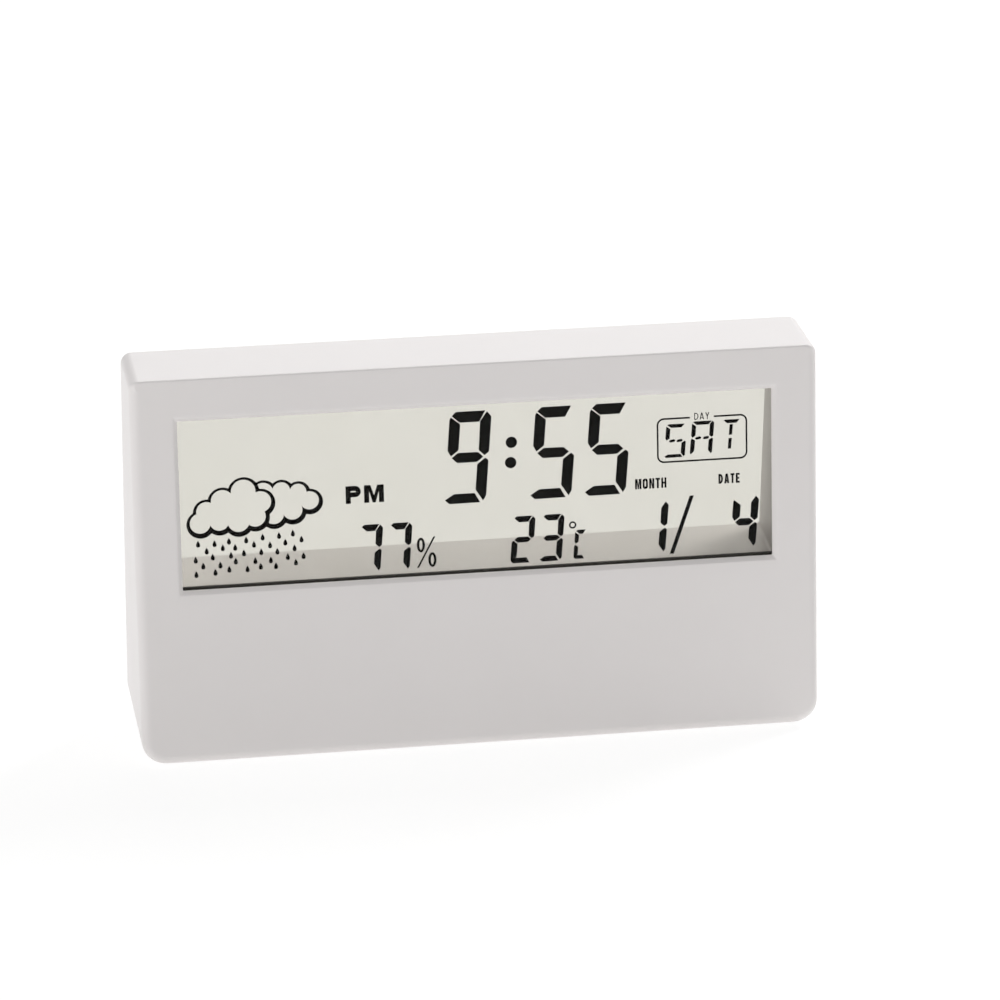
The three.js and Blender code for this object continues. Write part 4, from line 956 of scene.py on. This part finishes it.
# Battery door. One white moulding flush with the cover, over the battery tray. Two tabs hook behind the plate
# as a hinge, and a tongue between two slits snaps shut. Grooves give a grip, and an arrow shows the way.
TONGUE_WIDTH, TONGUE_LENGTH, TONGUE_SLIT, WEB_HEIGHT = 11 * MM, 8 * MM, 0.6 * MM, 1.4 * MM
DOOR_CORNER, DOOR_BREAK = 0.5 * MM, 0.12 * MM
GRIP_PLACES, GRIP_DEPTH = np.array([1.5, 2.6, 3.7, 4.8]) * MM, 0.35 * MM
GRIP_HALF_WIDTH, GRIP_HALF_HEIGHT = 3.6 * MM, 0.3 * MM
ARROW = np.array([(0, -7.5), (1.3, -6.1), (-1.3, -6.1)]) * MM

door_middle = (door_left + door_right) / 2
door_plate = slab(REAR, rounded_loop(door_left, door_right, door_bottom, door_top, DOOR_CORNER), 0,
                  DOOR_THICKNESS)
tabs = []
for x in tab_places:
    ends, web_top = (x - TAB_WIDTH / 2, x + TAB_WIDTH / 2), door_bottom + WEB_HEIGHT
    tabs.append(box(ends, (DOOR_THICKNESS / 2, door_high[1]), (door_bottom + FIT_GAP, web_top)))
    tabs.append(box(ends, (door_high[1] - TAB_THICKNESS, door_high[1]), (door_bottom - TAB_REACH, web_top)))
grooves = [slab(REAR, ARROW + (door_middle, door_top), -PAST, GRIP_DEPTH)]
for x in (door_middle - (TONGUE_WIDTH + TONGUE_SLIT) / 2, door_middle + (TONGUE_WIDTH + TONGUE_SLIT) / 2):
    grooves.append(box((x - TONGUE_SLIT / 2, x + TONGUE_SLIT / 2), (-PAST, DOOR_THICKNESS + PAST),
                       (door_top - TONGUE_LENGTH, door_top + PAST)))
for drop in GRIP_PLACES:
    grooves.append(slab(REAR, capsule(door_middle, door_top - drop, GRIP_HALF_WIDTH, GRIP_HALF_HEIGHT), -PAST,
                        GRIP_DEPTH))
door = broken(worked(door_plate, tabs, grooves), DOOR_BREAK, on_rear_face)
piece("battery_door_moulding", ["battery_door"], door, white_abs, "white_abs", "door")


# Buttons. Four keys of light grey ABS stand out of the cover, each with a flange that keeps it in, a dished
# cap with a sunk mark, and a stem. The stem presses the black plunger of a switch soldered to the board.
FLANGE_THICKNESS, STEM_RADIUS, CAP_EDGE, CAP_DISH, MARK_DEPTH = np.array([0.8, 1.5, 0.45, 0.12, 0.3]) * MM
PLUNGER_EDGE, SWITCH_EDGE, BORE_GAP, BORE_DEPTH = 0.35 * MM, 0.2 * MM, 0.3 * MM, 0.8 * MM
NEARLY_CLOSED = 0.98
ARROWHEAD = np.array([(-1.1, -0.65), (1.1, -0.65), (0, 0.95)]) * MM
MARKS = {"mode": circle(0, 0, 0.9 * MM, 24), "set": rect(-1.25 * MM, 1.25 * MM, -0.3 * MM, 0.3 * MM),
         "up": ARROWHEAD, "down": -ARROWHEAD}


def square_to_rear(x, up, start=0):
    """Puts the axis of a turned solid square to the rear face, at a place across and up it."""
    return lambda a, b, along: leaning(REAR, x + a, start + along, up + b)


def key_cap(low, middle, high):
    """A button as rings of one outline, from the inside out: stem, flange, wall, an edge that turns through a
    quarter circle, and a dish that sinks with the sine of the way to the middle."""
    width, _, height = high - middle - BUTTON_FLANGE
    near = COVER_THICKNESS + FIT_GAP
    steps = [(STEM_RADIUS, STEM_RADIUS, high[1]), (STEM_RADIUS, STEM_RADIUS, near + FLANGE_THICKNESS),
             (width + BUTTON_FLANGE, height + BUTTON_FLANGE, near + FLANGE_THICKNESS),
             (width + BUTTON_FLANGE, height + BUTTON_FLANGE, near), (width, height, near)]
    for turn in np.linspace(0, math.pi / 2, 7):
        inset = CAP_EDGE * (1 - math.cos(turn))
        steps.append((width - inset, height - inset, low[1] + CAP_EDGE * (1 - math.sin(turn))))
    for share in (0.3, 0.6, NEARLY_CLOSED):
        inset = CAP_EDGE + share * (height - CAP_EDGE)
        steps.append((width - inset, height - inset, low[1] + CAP_DISH * math.sin(share * math.pi / 2)))
    rings = []
    for half_width, half_height, depth in steps:
        x, up = capsule(middle[0], middle[2], half_width, half_height).T
        rings.append(leaning(REAR, x, depth, up))
    return loft(rings)


# ABS again, tinted light grey. Black switch plastic is glass-filled nylon, with a slightly rougher skin.
grey_abs = moulded("moulded_grey_abs", "C9C7C4", "C3C0BD", 0.42)
black_nylon = moulded("moulded_black_nylon", "222222", "1A1A1B", 0.5, grain=0.25 * MM)

for key, button in buttons.items():
    low, (x, _, up) = button[0], button[1]
    mark = slab(REAR, MARKS[key] + (x, up), low[1] - PAST, low[1] + CAP_DISH + MARK_DEPTH)
    piece(f"{key}_key_cap", [f"{key}_button"], worked(key_cap(*button), cuts=[mark]), grey_abs, "button_abs",
          f"{key}_key")
    low, middle, high = span(f"{key}_plunger", REAR)
    radius = high[0] - middle[0]
    plunger = turned([(radius - PLUNGER_EDGE, high[1]), (radius, high[1] - PLUNGER_EDGE),
                      *arc(radius - PLUNGER_EDGE, low[1] + PLUNGER_EDGE, PLUNGER_EDGE, 0, -90)],
                     square_to_rear(x, up))
    piece(f"{key}_switch_plunger", [f"{key}_plunger"], plunger, black_nylon, "black_plastic", f"{key}_key")
    bore = slab(REAR, circle(x, up, radius + BORE_GAP), -PAST, high[1] + BORE_DEPTH)
    low, _, high = span(f"{key}_switch", REAR)
    housing = broken(worked(box(*zip(low, high)), cuts=[bore]), SWITCH_EDGE)
    piece(f"{key}_switch_housing", [f"{key}_switch"], housing, black_nylon, "black_plastic")


# Buzzer and humidity sensor. The buzzer is a black can behind the sound holes, with its own hole in the
# middle of a sunk ring. The sensor is a pale capped box behind the vents, with slots that let the air in.
BUZZER_EDGE, BUZZER_RIM, RIM_SLOPE = 0.5 * MM, 1.6 * MM, 0.2 * MM
BUZZER_STEP, BUZZER_HOLE, HOLE_COLLAR, COLLAR_DROP, HOLE_DEPTH = np.array([0.4, 1.2, 0.3, 0.1, 2]) * MM
SENSOR_SLOT, SENSOR_PITCH, SLOT_DEPTH, SENSOR_EDGE = 0.7 * MM, 1.6 * MM, 1.0 * MM, 0.15 * MM

# Sensor housings are moulded in chalk-white polyester, matt and a little uneven.
chalk_polyester = moulded("moulded_chalk_polyester", "DEDDD6", "D5D4CC", 0.6, grain=0.25 * MM)

radius, face = buzzer_high[0] - buzzer_middle[0], buzzer_low[1]
can = turned([(radius, buzzer_high[1]), *arc(radius - BUZZER_EDGE, face + BUZZER_EDGE, BUZZER_EDGE, 0, -90),
              (radius - BUZZER_RIM, face), (radius - BUZZER_RIM - RIM_SLOPE, face + BUZZER_STEP),
              (BUZZER_HOLE + 2 * HOLE_COLLAR, face + BUZZER_STEP),
              (BUZZER_HOLE + HOLE_COLLAR, face + COLLAR_DROP), (BUZZER_HOLE, face + COLLAR_DROP),
              (BUZZER_HOLE, face + HOLE_DEPTH)],
             square_to_rear(buzzer_middle[0], buzzer_middle[2]), 64)
piece("buzzer_can", ["buzzer"], can, black_nylon, "black_plastic")

slots = [box((x - SENSOR_SLOT / 2, x + SENSOR_SLOT / 2), (sensor_low[1] - PAST, sensor_low[1] + SLOT_DEPTH),
             (sensor_low[2] + SENSOR_PITCH, sensor_high[2] - SENSOR_PITCH))
         for x in sensor_middle[0] + SENSOR_PITCH * FOUR_ABOUT_MIDDLE]
housing = broken(worked(box(*zip(sensor_low, sensor_high)), cuts=slots), SENSOR_EDGE)
piece("sensor_housing", ["humidity_sensor"], housing, chalk_polyester, "sensor_plastic")


# Circuit board. Glass-epoxy laminate under green solder mask, screwed to two posts of the cover. Its inner
# face carries the controller under an epoxy blob, a watch crystal in a steel can and a sleeved capacitor.
HOLE_GAP, SHANK_RADIUS = 0.3 * MM, 1.0 * MM
CRYSTAL_EDGE, CAPACITOR_EDGE, CRIMP, BLOB_EDGE = 0.25 * MM, 0.4 * MM, 0.3 * MM, 0.2 * MM
BEAD_PLACE, BEAD_HALF, BEAD_DEPTH, END_BREAK = 0.7 * MM, 0.2 * MM, 0.08 * MM, 0.1 * MM
CRIMP_PLACE, LIP_INSET, LIP_SLOPE, LIP_DROP = 1.2 * MM, 0.7 * MM, 0.05 * MM, 0.1 * MM
TRACE_CELL, TRACE_WIDTH, TRACE_RISE, STREAK_DRIFT = 3.2 * MM, 0.22 * MM, 0.035 * MM, 0.06

# Solder mask: glossy green lacquer, lighter where the copper traces under it raise it.
solder_mask, tree = new_material("green_solder_mask")
place = add(tree, "ShaderNodeTexCoord", output="Object")
paths = add(tree, "ShaderNodeTexVoronoi", {"Vector": place, "Scale": 1 / TRACE_CELL, "Randomness": 0.55},
            output="Distance", feature="DISTANCE_TO_EDGE")
edge = TRACE_WIDTH / TRACE_CELL
trace = add(tree, "ShaderNodeMapRange",
            {"Value": paths, "From Min": edge, "From Max": 1.6 * edge, "To Min": 1.0, "To Max": 0.0})
opaque(tree, trace, srgb("1F5A38"), srgb("3C7F4E"), {"Roughness": 0.28}, trace, TRACE_RISE)


def plated(name, colour, shade, roughness, streak):
    """Plated steel: a metal with faint drawing streaks, each about as wide as streak, in tone, gloss and
    relief."""
    material, tree = new_material(name)
    place = add(tree, "ShaderNodeTexCoord", output="Object")
    stretch = add(tree, "ShaderNodeMapping", {"Vector": place, "Scale": (0.15, 1, 1)})
    lines = add(tree, "ShaderNodeTexNoise", {"Vector": stretch, "Scale": 1 / streak, "Detail": 3.0})
    gloss = add(tree, "ShaderNodeMapRange", {"Value": lines, "To Min": roughness - STREAK_DRIFT,
                                             "To Max": roughness + STREAK_DRIFT})
    opaque(tree, lines, srgb(colour), srgb(shade), {"Metallic": 1.0, "Roughness": gloss}, lines, streak / 20)
    return material


# Nickel is warm and fairly bright. Zinc with a clear passivate is bluer and duller.
nickel_steel = plated("nickel_plated_steel", "C9C5BC", "B5B1A8", 0.26, 0.12 * MM)
zinc_steel = plated("zinc_plated_steel", "B9BDC2", "A4A8AE", 0.34, 0.15 * MM)
# Potting epoxy cures glossy, with slow swells. Shrink sleeve is smooth PVC.
black_epoxy = moulded("poured_black_epoxy", "1B1B1C", "131314", 0.22, grain=1.6 * MM, relief=0.03 * MM)
blue_sleeve = moulded("shrunk_blue_sleeve", "2A3A63", "223056", 0.3, grain=0.4 * MM, relief=0.004 * MM)


def level_axis(depth, up, start=0, side=1):
    """Puts the axis of a turned solid level, behind the rear face, from a start towards a side along X."""
    return lambda a, b, along: leaning(REAR, start + side * along, depth + a, up + b)


holes = [slab(REAR, circle(*post, SHANK_RADIUS + HOLE_GAP), board_low[1] - PAST, board_high[1] + PAST)
         for post in posts]
piece("board_panel", ["circuit_board"], worked(box(*zip(board_low, board_high)), cuts=holes), solder_mask,
      "board_laminate")

low, middle, high = span("controller_blob", REAR)
radius, rise = high[0] - middle[0], high[1] - low[1] - BLOB_EDGE
turn = np.linspace(0, NEARLY_CLOSED * math.pi / 2, 12)
dome = [(radius, low[1]), *zip(radius * np.cos(turn), low[1] + BLOB_EDGE + rise * np.sin(turn))]
piece("blob_dome", ["controller_blob"], turned(dome, square_to_rear(middle[0], middle[2]), 64), black_epoxy,
      "black_epoxy")

low, middle, high = span("crystal", REAR)
radius, end = high[1] - middle[1], high[0]
shell = turned([(radius - CRIMP, low[0]),
                *arc(radius - CRYSTAL_EDGE, low[0] + CRYSTAL_EDGE, CRYSTAL_EDGE, 270, 360),
                (radius, end - BEAD_PLACE - BEAD_HALF), (radius - BEAD_DEPTH, end - BEAD_PLACE),
                (radius, end - BEAD_PLACE + BEAD_HALF), (radius, end - END_BREAK),
                (radius - END_BREAK, end)], level_axis(middle[1], middle[2]))
piece("crystal_can", ["crystal"], shell, nickel_steel, "nickel_steel")

low, middle, high = span("capacitor", REAR)
radius, foot = high[0] - middle[0], low[1]
sleeve = turned([(radius - CAPACITOR_EDGE, foot), *arc(radius - CRIMP, foot + CRIMP, CRIMP, 270, 360),
                 (radius, foot + CRIMP_PLACE - CRIMP), (radius - CRIMP / 2, foot + CRIMP_PLACE),
                 (radius, foot + CRIMP_PLACE + CRIMP),
                 *arc(radius - CAPACITOR_EDGE, high[1] - CAPACITOR_EDGE, CAPACITOR_EDGE, 0, 90),
                 (radius - LIP_INSET, high[1]), (radius - LIP_INSET - LIP_SLOPE, high[1] - LIP_DROP)],
                square_to_rear(middle[0], middle[2]))
piece("capacitor_can", ["capacitor"], sleeve, blue_sleeve, "capacitor_sleeve")


# Display ribbon. A heat-seal film with printed carbon tracks, pressed onto the ledge of the front glass. It
# bends back under the glass and down over the board's upper edge, and is pressed onto the board's inner face.
RIBBON_THICKNESS, RIBBON_LANDING, LANDED_LENGTH, TRACK_PITCH = 0.3 * MM, 22.5 * MM, 2 * MM, 1.0 * MM
BEND_BACK, BEND_DROP, RISE_BACK, RISE_DROP = 1.2 * MM, 3.5 * MM, 4.5 * MM, 1 * MM
TRACK_RISE = 0.02 * MM


def smooth_path(points, steps):
    """A centripetal Catmull-Rom curve: knots lie a square root of the chord apart, and each span is a cubic
    whose end slopes come from both neighbours. It passes through every point."""
    points = np.asarray(points, float)
    points = np.concatenate([[2 * points[0] - points[1]], points, [2 * points[-1] - points[-2]]])
    gaps = np.linalg.norm(np.diff(points, axis=0), axis=1) ** 0.5
    t = np.linspace(0, 1, steps, endpoint=False)[:, None]
    line = []
    for i in range(1, len(points) - 2):
        before, here, after, beyond = points[i - 1:i + 3]
        g0, g1, g2 = gaps[i - 1:i + 2]
        leave = g1 * ((here - before) / g0 - (after - before) / (g0 + g1) + (after - here) / g1)
        reach = g1 * ((after - here) / g1 - (beyond - here) / (g1 + g2) + (beyond - after) / g2)
        line.append((2 * t ** 3 - 3 * t ** 2 + 1) * here + (t ** 3 - 2 * t ** 2 + t) * leave
                    + (3 * t ** 2 - 2 * t ** 3) * after + (t ** 3 - t ** 2) * reach)
    return np.concatenate([*line, points[-2:-1]])


def aside(heading):
    """Unit vectors square to the headings of a flat path, on its left."""
    return np.stack([-heading[:, 1], heading[:, 0]], 1) / np.linalg.norm(heading, axis=1)[:, None]


# Polyimide film: amber, with dark tracks at the pitch of the display's contacts.
amber_film, tree = new_material("printed_polyimide_film")
place = add(tree, "ShaderNodeTexCoord", output="Object")
tracks = add(tree, "ShaderNodeTexWave", {"Vector": place, "Scale": math.pi / 10 / TRACK_PITCH}, output="Fac",
             wave_type="BANDS", bands_direction="X")
printed = add(tree, "ShaderNodeMapRange", {"Value": tracks, "From Min": 0.45, "From Max": 0.55})
opaque(tree, printed, srgb("C98A3A"), srgb("4A3A2A"), {"Roughness": 0.35}, printed, TRACK_RISE)

bonded = ribbon_low[1] + RIBBON_THICKNESS / 2
landed = board_high[1] + BOND_GAP + RIBBON_THICKNESS / 2
stops = [leaning(FRONT, 0, bonded, sheet_low - FIT_GAP), leaning(FRONT, 0, bonded, step_up),
         leaning(FRONT, 0, bonded + BEND_BACK, step_up - BEND_DROP),
         leaning(REAR, 0, landed - RISE_BACK, board_high[2] - RISE_DROP),
         leaning(REAR, 0, landed, RIBBON_LANDING + LANDED_LENGTH), leaning(REAR, 0, landed, RIBBON_LANDING)]
spine = smooth_path(stops, 12)[:, 1:]
across = aside(np.gradient(spine, axis=0)) * RIBBON_THICKNESS / 2
strip = np.concatenate([spine + across, (spine - across)[::-1]])
film = loft([np.insert(strip, 0, x, axis=1) for x in (ribbon_low[0], ribbon_high[0])])
piece("ribbon_strip", ["display_ribbon"], film, amber_film, "ribbon_film", crease=60)


# Contacts. Strips of nickel-plated spring steel in slots at the ends of the tray. The flat ends of the cells
# lean on coned springs, and two of the strips have a tail through the tray's floor for a lead.
CONTACT_THICKNESS, CONTACT_HALF, TAIL_HALF, STRIP_EDGE = 0.4 * MM, 4.3 * MM, 1.25 * MM, 0.08 * MM
WIRE_RADIUS, SPRING_BASE, SPRING_TIP = 0.28 * MM, 3.6 * MM, 2.4 * MM
SPRING_LENGTH, SPRING_TURNS, TURN_STEPS = 4.6 * MM, 4.5, 28
DIMPLE_RADIUS, DIMPLE_RISE, DIMPLE_SUNK = 1.4 * MM, 0.2 * MM, 0.1 * MM


def coned_spring(x0, side, row):
    """A round wire on a helix whose radius falls evenly from base to tip, towards a side along X."""
    share = np.linspace(0, 1, int(SPRING_TURNS * TURN_STEPS))[:, None]
    turn = 2 * math.pi * SPRING_TURNS * share
    section = np.linspace(0, 2 * math.pi, 10, endpoint=False)[None]
    radius = SPRING_BASE - WIRE_RADIUS + (SPRING_TIP - SPRING_BASE) * share + WIRE_RADIUS * np.cos(section)
    x = x0 + side * (WIRE_RADIUS + (SPRING_LENGTH - 2 * WIRE_RADIUS) * share + WIRE_RADIUS * np.sin(section))
    return loft(leaning(REAR, x, cell_axis + radius * np.cos(turn), row + radius * np.sin(turn)))


def tailed(row):
    """The outline of a contact, in depth and up, with a tail as deep as the CAD's."""
    half = [(cell_axis - CONTACT_HALF, -CONTACT_HALF), (cell_axis + CONTACT_HALF, -CONTACT_HALF),
            (cell_axis + CONTACT_HALF, -TAIL_HALF), (plus_high[1], -TAIL_HALF)]
    return [(depth, row + up) for depth, up in half] + [(depth, row - up) for depth, up in half[::-1]]


right_face, left_face = plus_high[0] - CONTACT_THICKNESS, link_low[0] + CONTACT_THICKNESS
link = rect(cell_axis - CONTACT_HALF, cell_axis + CONTACT_HALF, lower_row - CONTACT_HALF,
            upper_row + CONTACT_HALF)
dimple = turned([(DIMPLE_RADIUS, -DIMPLE_SUNK), (DIMPLE_RADIUS, 0), (0.7 * DIMPLE_RADIUS, 0.8 * DIMPLE_RISE),
                 (0.2 * DIMPLE_RADIUS, DIMPLE_RISE)], level_axis(cell_axis, lower_row, right_face, -1), 32)
for node, outline, x0, x1, touching in (
        ("positive_contact", tailed(lower_row), right_face, plus_high[0], dimple),
        ("negative_contact", tailed(upper_row), right_face, plus_high[0],
         coned_spring(right_face, -1, upper_row)),
        ("link_contact", link, link_low[0], left_face, coned_spring(left_face, 1, lower_row))):
    strip = broken(crosswise(REAR, outline, x0, x1), STRIP_EDGE)
    piece(f"{node}_strip", [node], joined([strip, touching]), nickel_steel, "nickel_steel")


# Cells. Two AAA cells lie one above the other, facing opposite ways. Each is a nickel-plated steel can with
# its nub drawn out of one end, in a printed plastic sleeve that is shrunk on.
NUB_RADIUS, NUB_LENGTH, NUB_EDGE = 2.2 * MM, 1.0 * MM, 0.3 * MM
SLEEVE_GAP, SLEEVE_THICKNESS, CAN_EDGE = 0.02 * MM, 0.1 * MM, 0.7 * MM
DISH_INSET, DISH_SLOPE, DISH_DEPTH = 1.6 * MM, 0.4 * MM, 0.25 * MM
FOLD_IN, FOLD_BACK, BAND_START, BAND_BLUR = 0.02 * MM, 0.06 * MM, 0.78, 0.004
FLOW_WIDTH, FLOW_RISE = 0.7 * MM, 0.01 * MM

# Printed sleeve: slate film with a pale band at the nub's end, glossy, with fine flow lines from shrinking.
printed_sleeve, tree = new_material("shrunk_printed_sleeve")
along = add(tree, "ShaderNodeAttribute", output="Fac", attribute_name="along")
place = add(tree, "ShaderNodeTexCoord", output="Object")
flow = add(tree, "ShaderNodeTexNoise", {"Vector": place, "Scale": 1 / FLOW_WIDTH, "Detail": 3.0})
edge = add(tree, "ShaderNodeMapRange",
           {"Value": along, "From Min": BAND_START, "From Max": BAND_START + BAND_BLUR})
slate = add(tree, "ShaderNodeMix", {"Factor": flow, "A": srgb("44545E"), "B": srgb("3A4952")},
            data_type="RGBA")
opaque(tree, edge, slate, srgb("C9CDCB"), {"Roughness": 0.25}, flow, FLOW_RISE)

for node, side in (("aaa_cell_lower", 1), ("aaa_cell_upper", -1)):
    low, middle, high = span(node, REAR)
    put = level_axis(cell_axis, middle[2], low[0] if side > 0 else high[0], side)
    radius, length = high[2] - middle[2], high[0] - low[0]
    wrapped, shoulder = radius - SLEEVE_THICKNESS, length - NUB_LENGTH
    flat = wrapped - SLEEVE_GAP - CAN_EDGE
    can = turned([(radius - DISH_INSET - DISH_SLOPE, DISH_DEPTH), (radius - DISH_INSET, 0),
                  *arc(flat, CAN_EDGE, CAN_EDGE, 270, 360), *arc(flat, shoulder - CAN_EDGE, CAN_EDGE, 0, 90),
                  (NUB_RADIUS + NUB_EDGE, shoulder), (NUB_RADIUS, shoulder + NUB_EDGE),
                  *arc(NUB_RADIUS - NUB_EDGE, length - NUB_EDGE, NUB_EDGE, 0, 90)], put, 64)
    piece(f"{node}_can", [node], can, nickel_steel, "nickel_steel")
    start, end = CAN_EDGE, shoulder - CAN_EDGE
    profile = [(wrapped, start), (radius - FOLD_IN, start), (radius, start + FOLD_BACK),
               (radius, end - FOLD_BACK), (radius - FOLD_IN, end), (wrapped, end)]
    sleeve = piece(f"{node}_sleeve", [node], turned(profile, put, 64, wrap=True), printed_sleeve, "cell_wrap")
    shares = np.repeat([point[1] / length for point in profile], 64)
    sleeve.data.attributes.new("along", "FLOAT", "POINT").data.foreach_set("value", shares)


# Leads. Two insulated wires loop from the contacts' tails round the end of the tray to the board. The
# insulation is soft PVC, extruded round the strands.
LEAD_RADIUS, LEAD_LOOP, LEAD_LANDING, TAIL_GAP = 0.6 * MM, 3.0 * MM, 3.4 * MM, 0.3 * MM

# PVC straight from the die: smooth and waxy, with faint swells.
red_pvc = moulded("extruded_red_pvc", "A8271F", "96201A", 0.34, grain=0.5 * MM)
black_pvc = moulded("extruded_black_pvc", "202021", "18181A", 0.34, grain=0.5 * MM)

x0, x1 = plus_high[0] - CONTACT_THICKNESS / 2, board_low[0] + LEAD_LANDING
begin, end = plus_high[1] + TAIL_GAP, board_high[1] + BOND_GAP
route = smooth_path([(x0, begin), (x0, begin + LEAD_LOOP / 2), ((x0 + x1) / 2, begin + LEAD_LOOP),
                     (x1, begin + LEAD_LOOP / 2), (x1, (begin + end) / 2), (x1, end)], 10)
heading = np.gradient(route, axis=0)
heading[0], heading[-1] = (0, 1), (0, -1)
turn = np.linspace(0, 2 * math.pi, 16, endpoint=False)
x, depth = (route + LEAD_RADIUS * np.cos(turn)[:, None, None] * aside(heading)).T
for node, row, material, slot in (("red_lead", lower_row, red_pvc, "red_insulation"),
                                  ("black_lead", upper_row, black_pvc, "black_insulation")):
    tube = leaning(REAR, x, depth, row + LEAD_RADIUS * np.sin(turn))
    piece(f"{node}_wire", [node], loft(tube), material, slot)


# Screws. Zinc-plated self-tapping screws with pan heads and crossed recesses: four hold the cover to the
# front shell from the rear, and two hold the board to its posts from the inside.
CASE_SCREW, BOARD_SCREW = 9 * MM, 5 * MM
THREAD_PITCH, THREAD_RISE, THREAD_END, RIDGE_STEEPNESS = 0.8 * MM, 0.16 * MM, 0.3 * MM, 4
POINT_LENGTH, POINT_SHARE, SCREW_STEPS, PITCH_STEPS = 1.2 * MM, 0.3, 32, 7
RECESS_DEPTH, RECESS_WIDTH, RECESS_REACH = 0.8 * MM, 0.55 * MM, 0.62
HEAD_EDGE, HEAD_CROWN, NECK = 0.08 * MM, 0.75, 0.15 * MM


def threaded_screw(head, rise, length, put):
    """A screw along one axis, from its point to its crown. On the shank a ridge climbs one pitch a turn: the
    radius grows with how near the phase, place over pitch less share of a turn, is to the ridge's middle."""
    turn = np.linspace(0, 2 * math.pi, SCREW_STEPS, endpoint=False)
    along = np.linspace(-length, -THREAD_END, int(length / THREAD_PITCH * PITCH_STEPS))[:, None]
    phase = np.abs((along / THREAD_PITCH - turn / (2 * math.pi)) % 1 - 0.5)
    taper = np.clip((along + length) / POINT_LENGTH, POINT_SHARE, 1)
    ridge = THREAD_RISE * np.clip(1 - RIDGE_STEEPNESS * phase, 0, 1)
    radius = taper * (SHANK_RADIUS - THREAD_RISE / 2 + ridge)
    crown = np.array([(SHANK_RADIUS, -NECK), (SHANK_RADIUS, 0), (head - HEAD_EDGE, 0), (head, HEAD_EDGE),
                      *arc(head * HEAD_CROWN, 0.45 * rise, head * (1 - HEAD_CROWN), 0, 45, 4),
                      (0.55 * head, 0.97 * rise), (0.2 * head, rise)])
    radius = np.concatenate([radius, crown[:, :1] + 0 * turn])
    along = np.concatenate([along, crown[:, 1:]]) + 0 * turn
    arms = []
    for u, v in ((RECESS_REACH * head, RECESS_WIDTH / 2), (RECESS_WIDTH / 2, RECESS_REACH * head)):
        arms.append(loft([put(*rect(-u, u, -v, v).T, np.full(4, place))
                          for place in (rise + PAST, rise - RECESS_DEPTH)]))
    return worked(loft(put(radius * np.cos(turn), radius * np.sin(turn), along)), cuts=arms)


for i, (x, z) in enumerate(screw_axes, 1):
    low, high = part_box(f"case_screw_{i}")
    seat = low.y + CASE_SCREW
    screw = threaded_screw((high.x - low.x) / 2, high.y - seat, CASE_SCREW,
                           lambda a, b, along: np.stack([x + a, seat + along, z + b], -1))
    piece(f"case_screw_{i}_steel", [f"case_screw_{i}"], screw, zinc_steel, "zinc_steel")
for i, (x, up) in enumerate(posts, 1):
    low, middle, high = span(f"board_screw_{i}", REAR)
    seat = low[1] + BOARD_SCREW
    screw = threaded_screw(high[0] - middle[0], high[1] - seat, BOARD_SCREW, square_to_rear(x, up, seat))
    piece(f"board_screw_{i}_steel", [f"board_screw_{i}"], screw, zinc_steel, "zinc_steel")
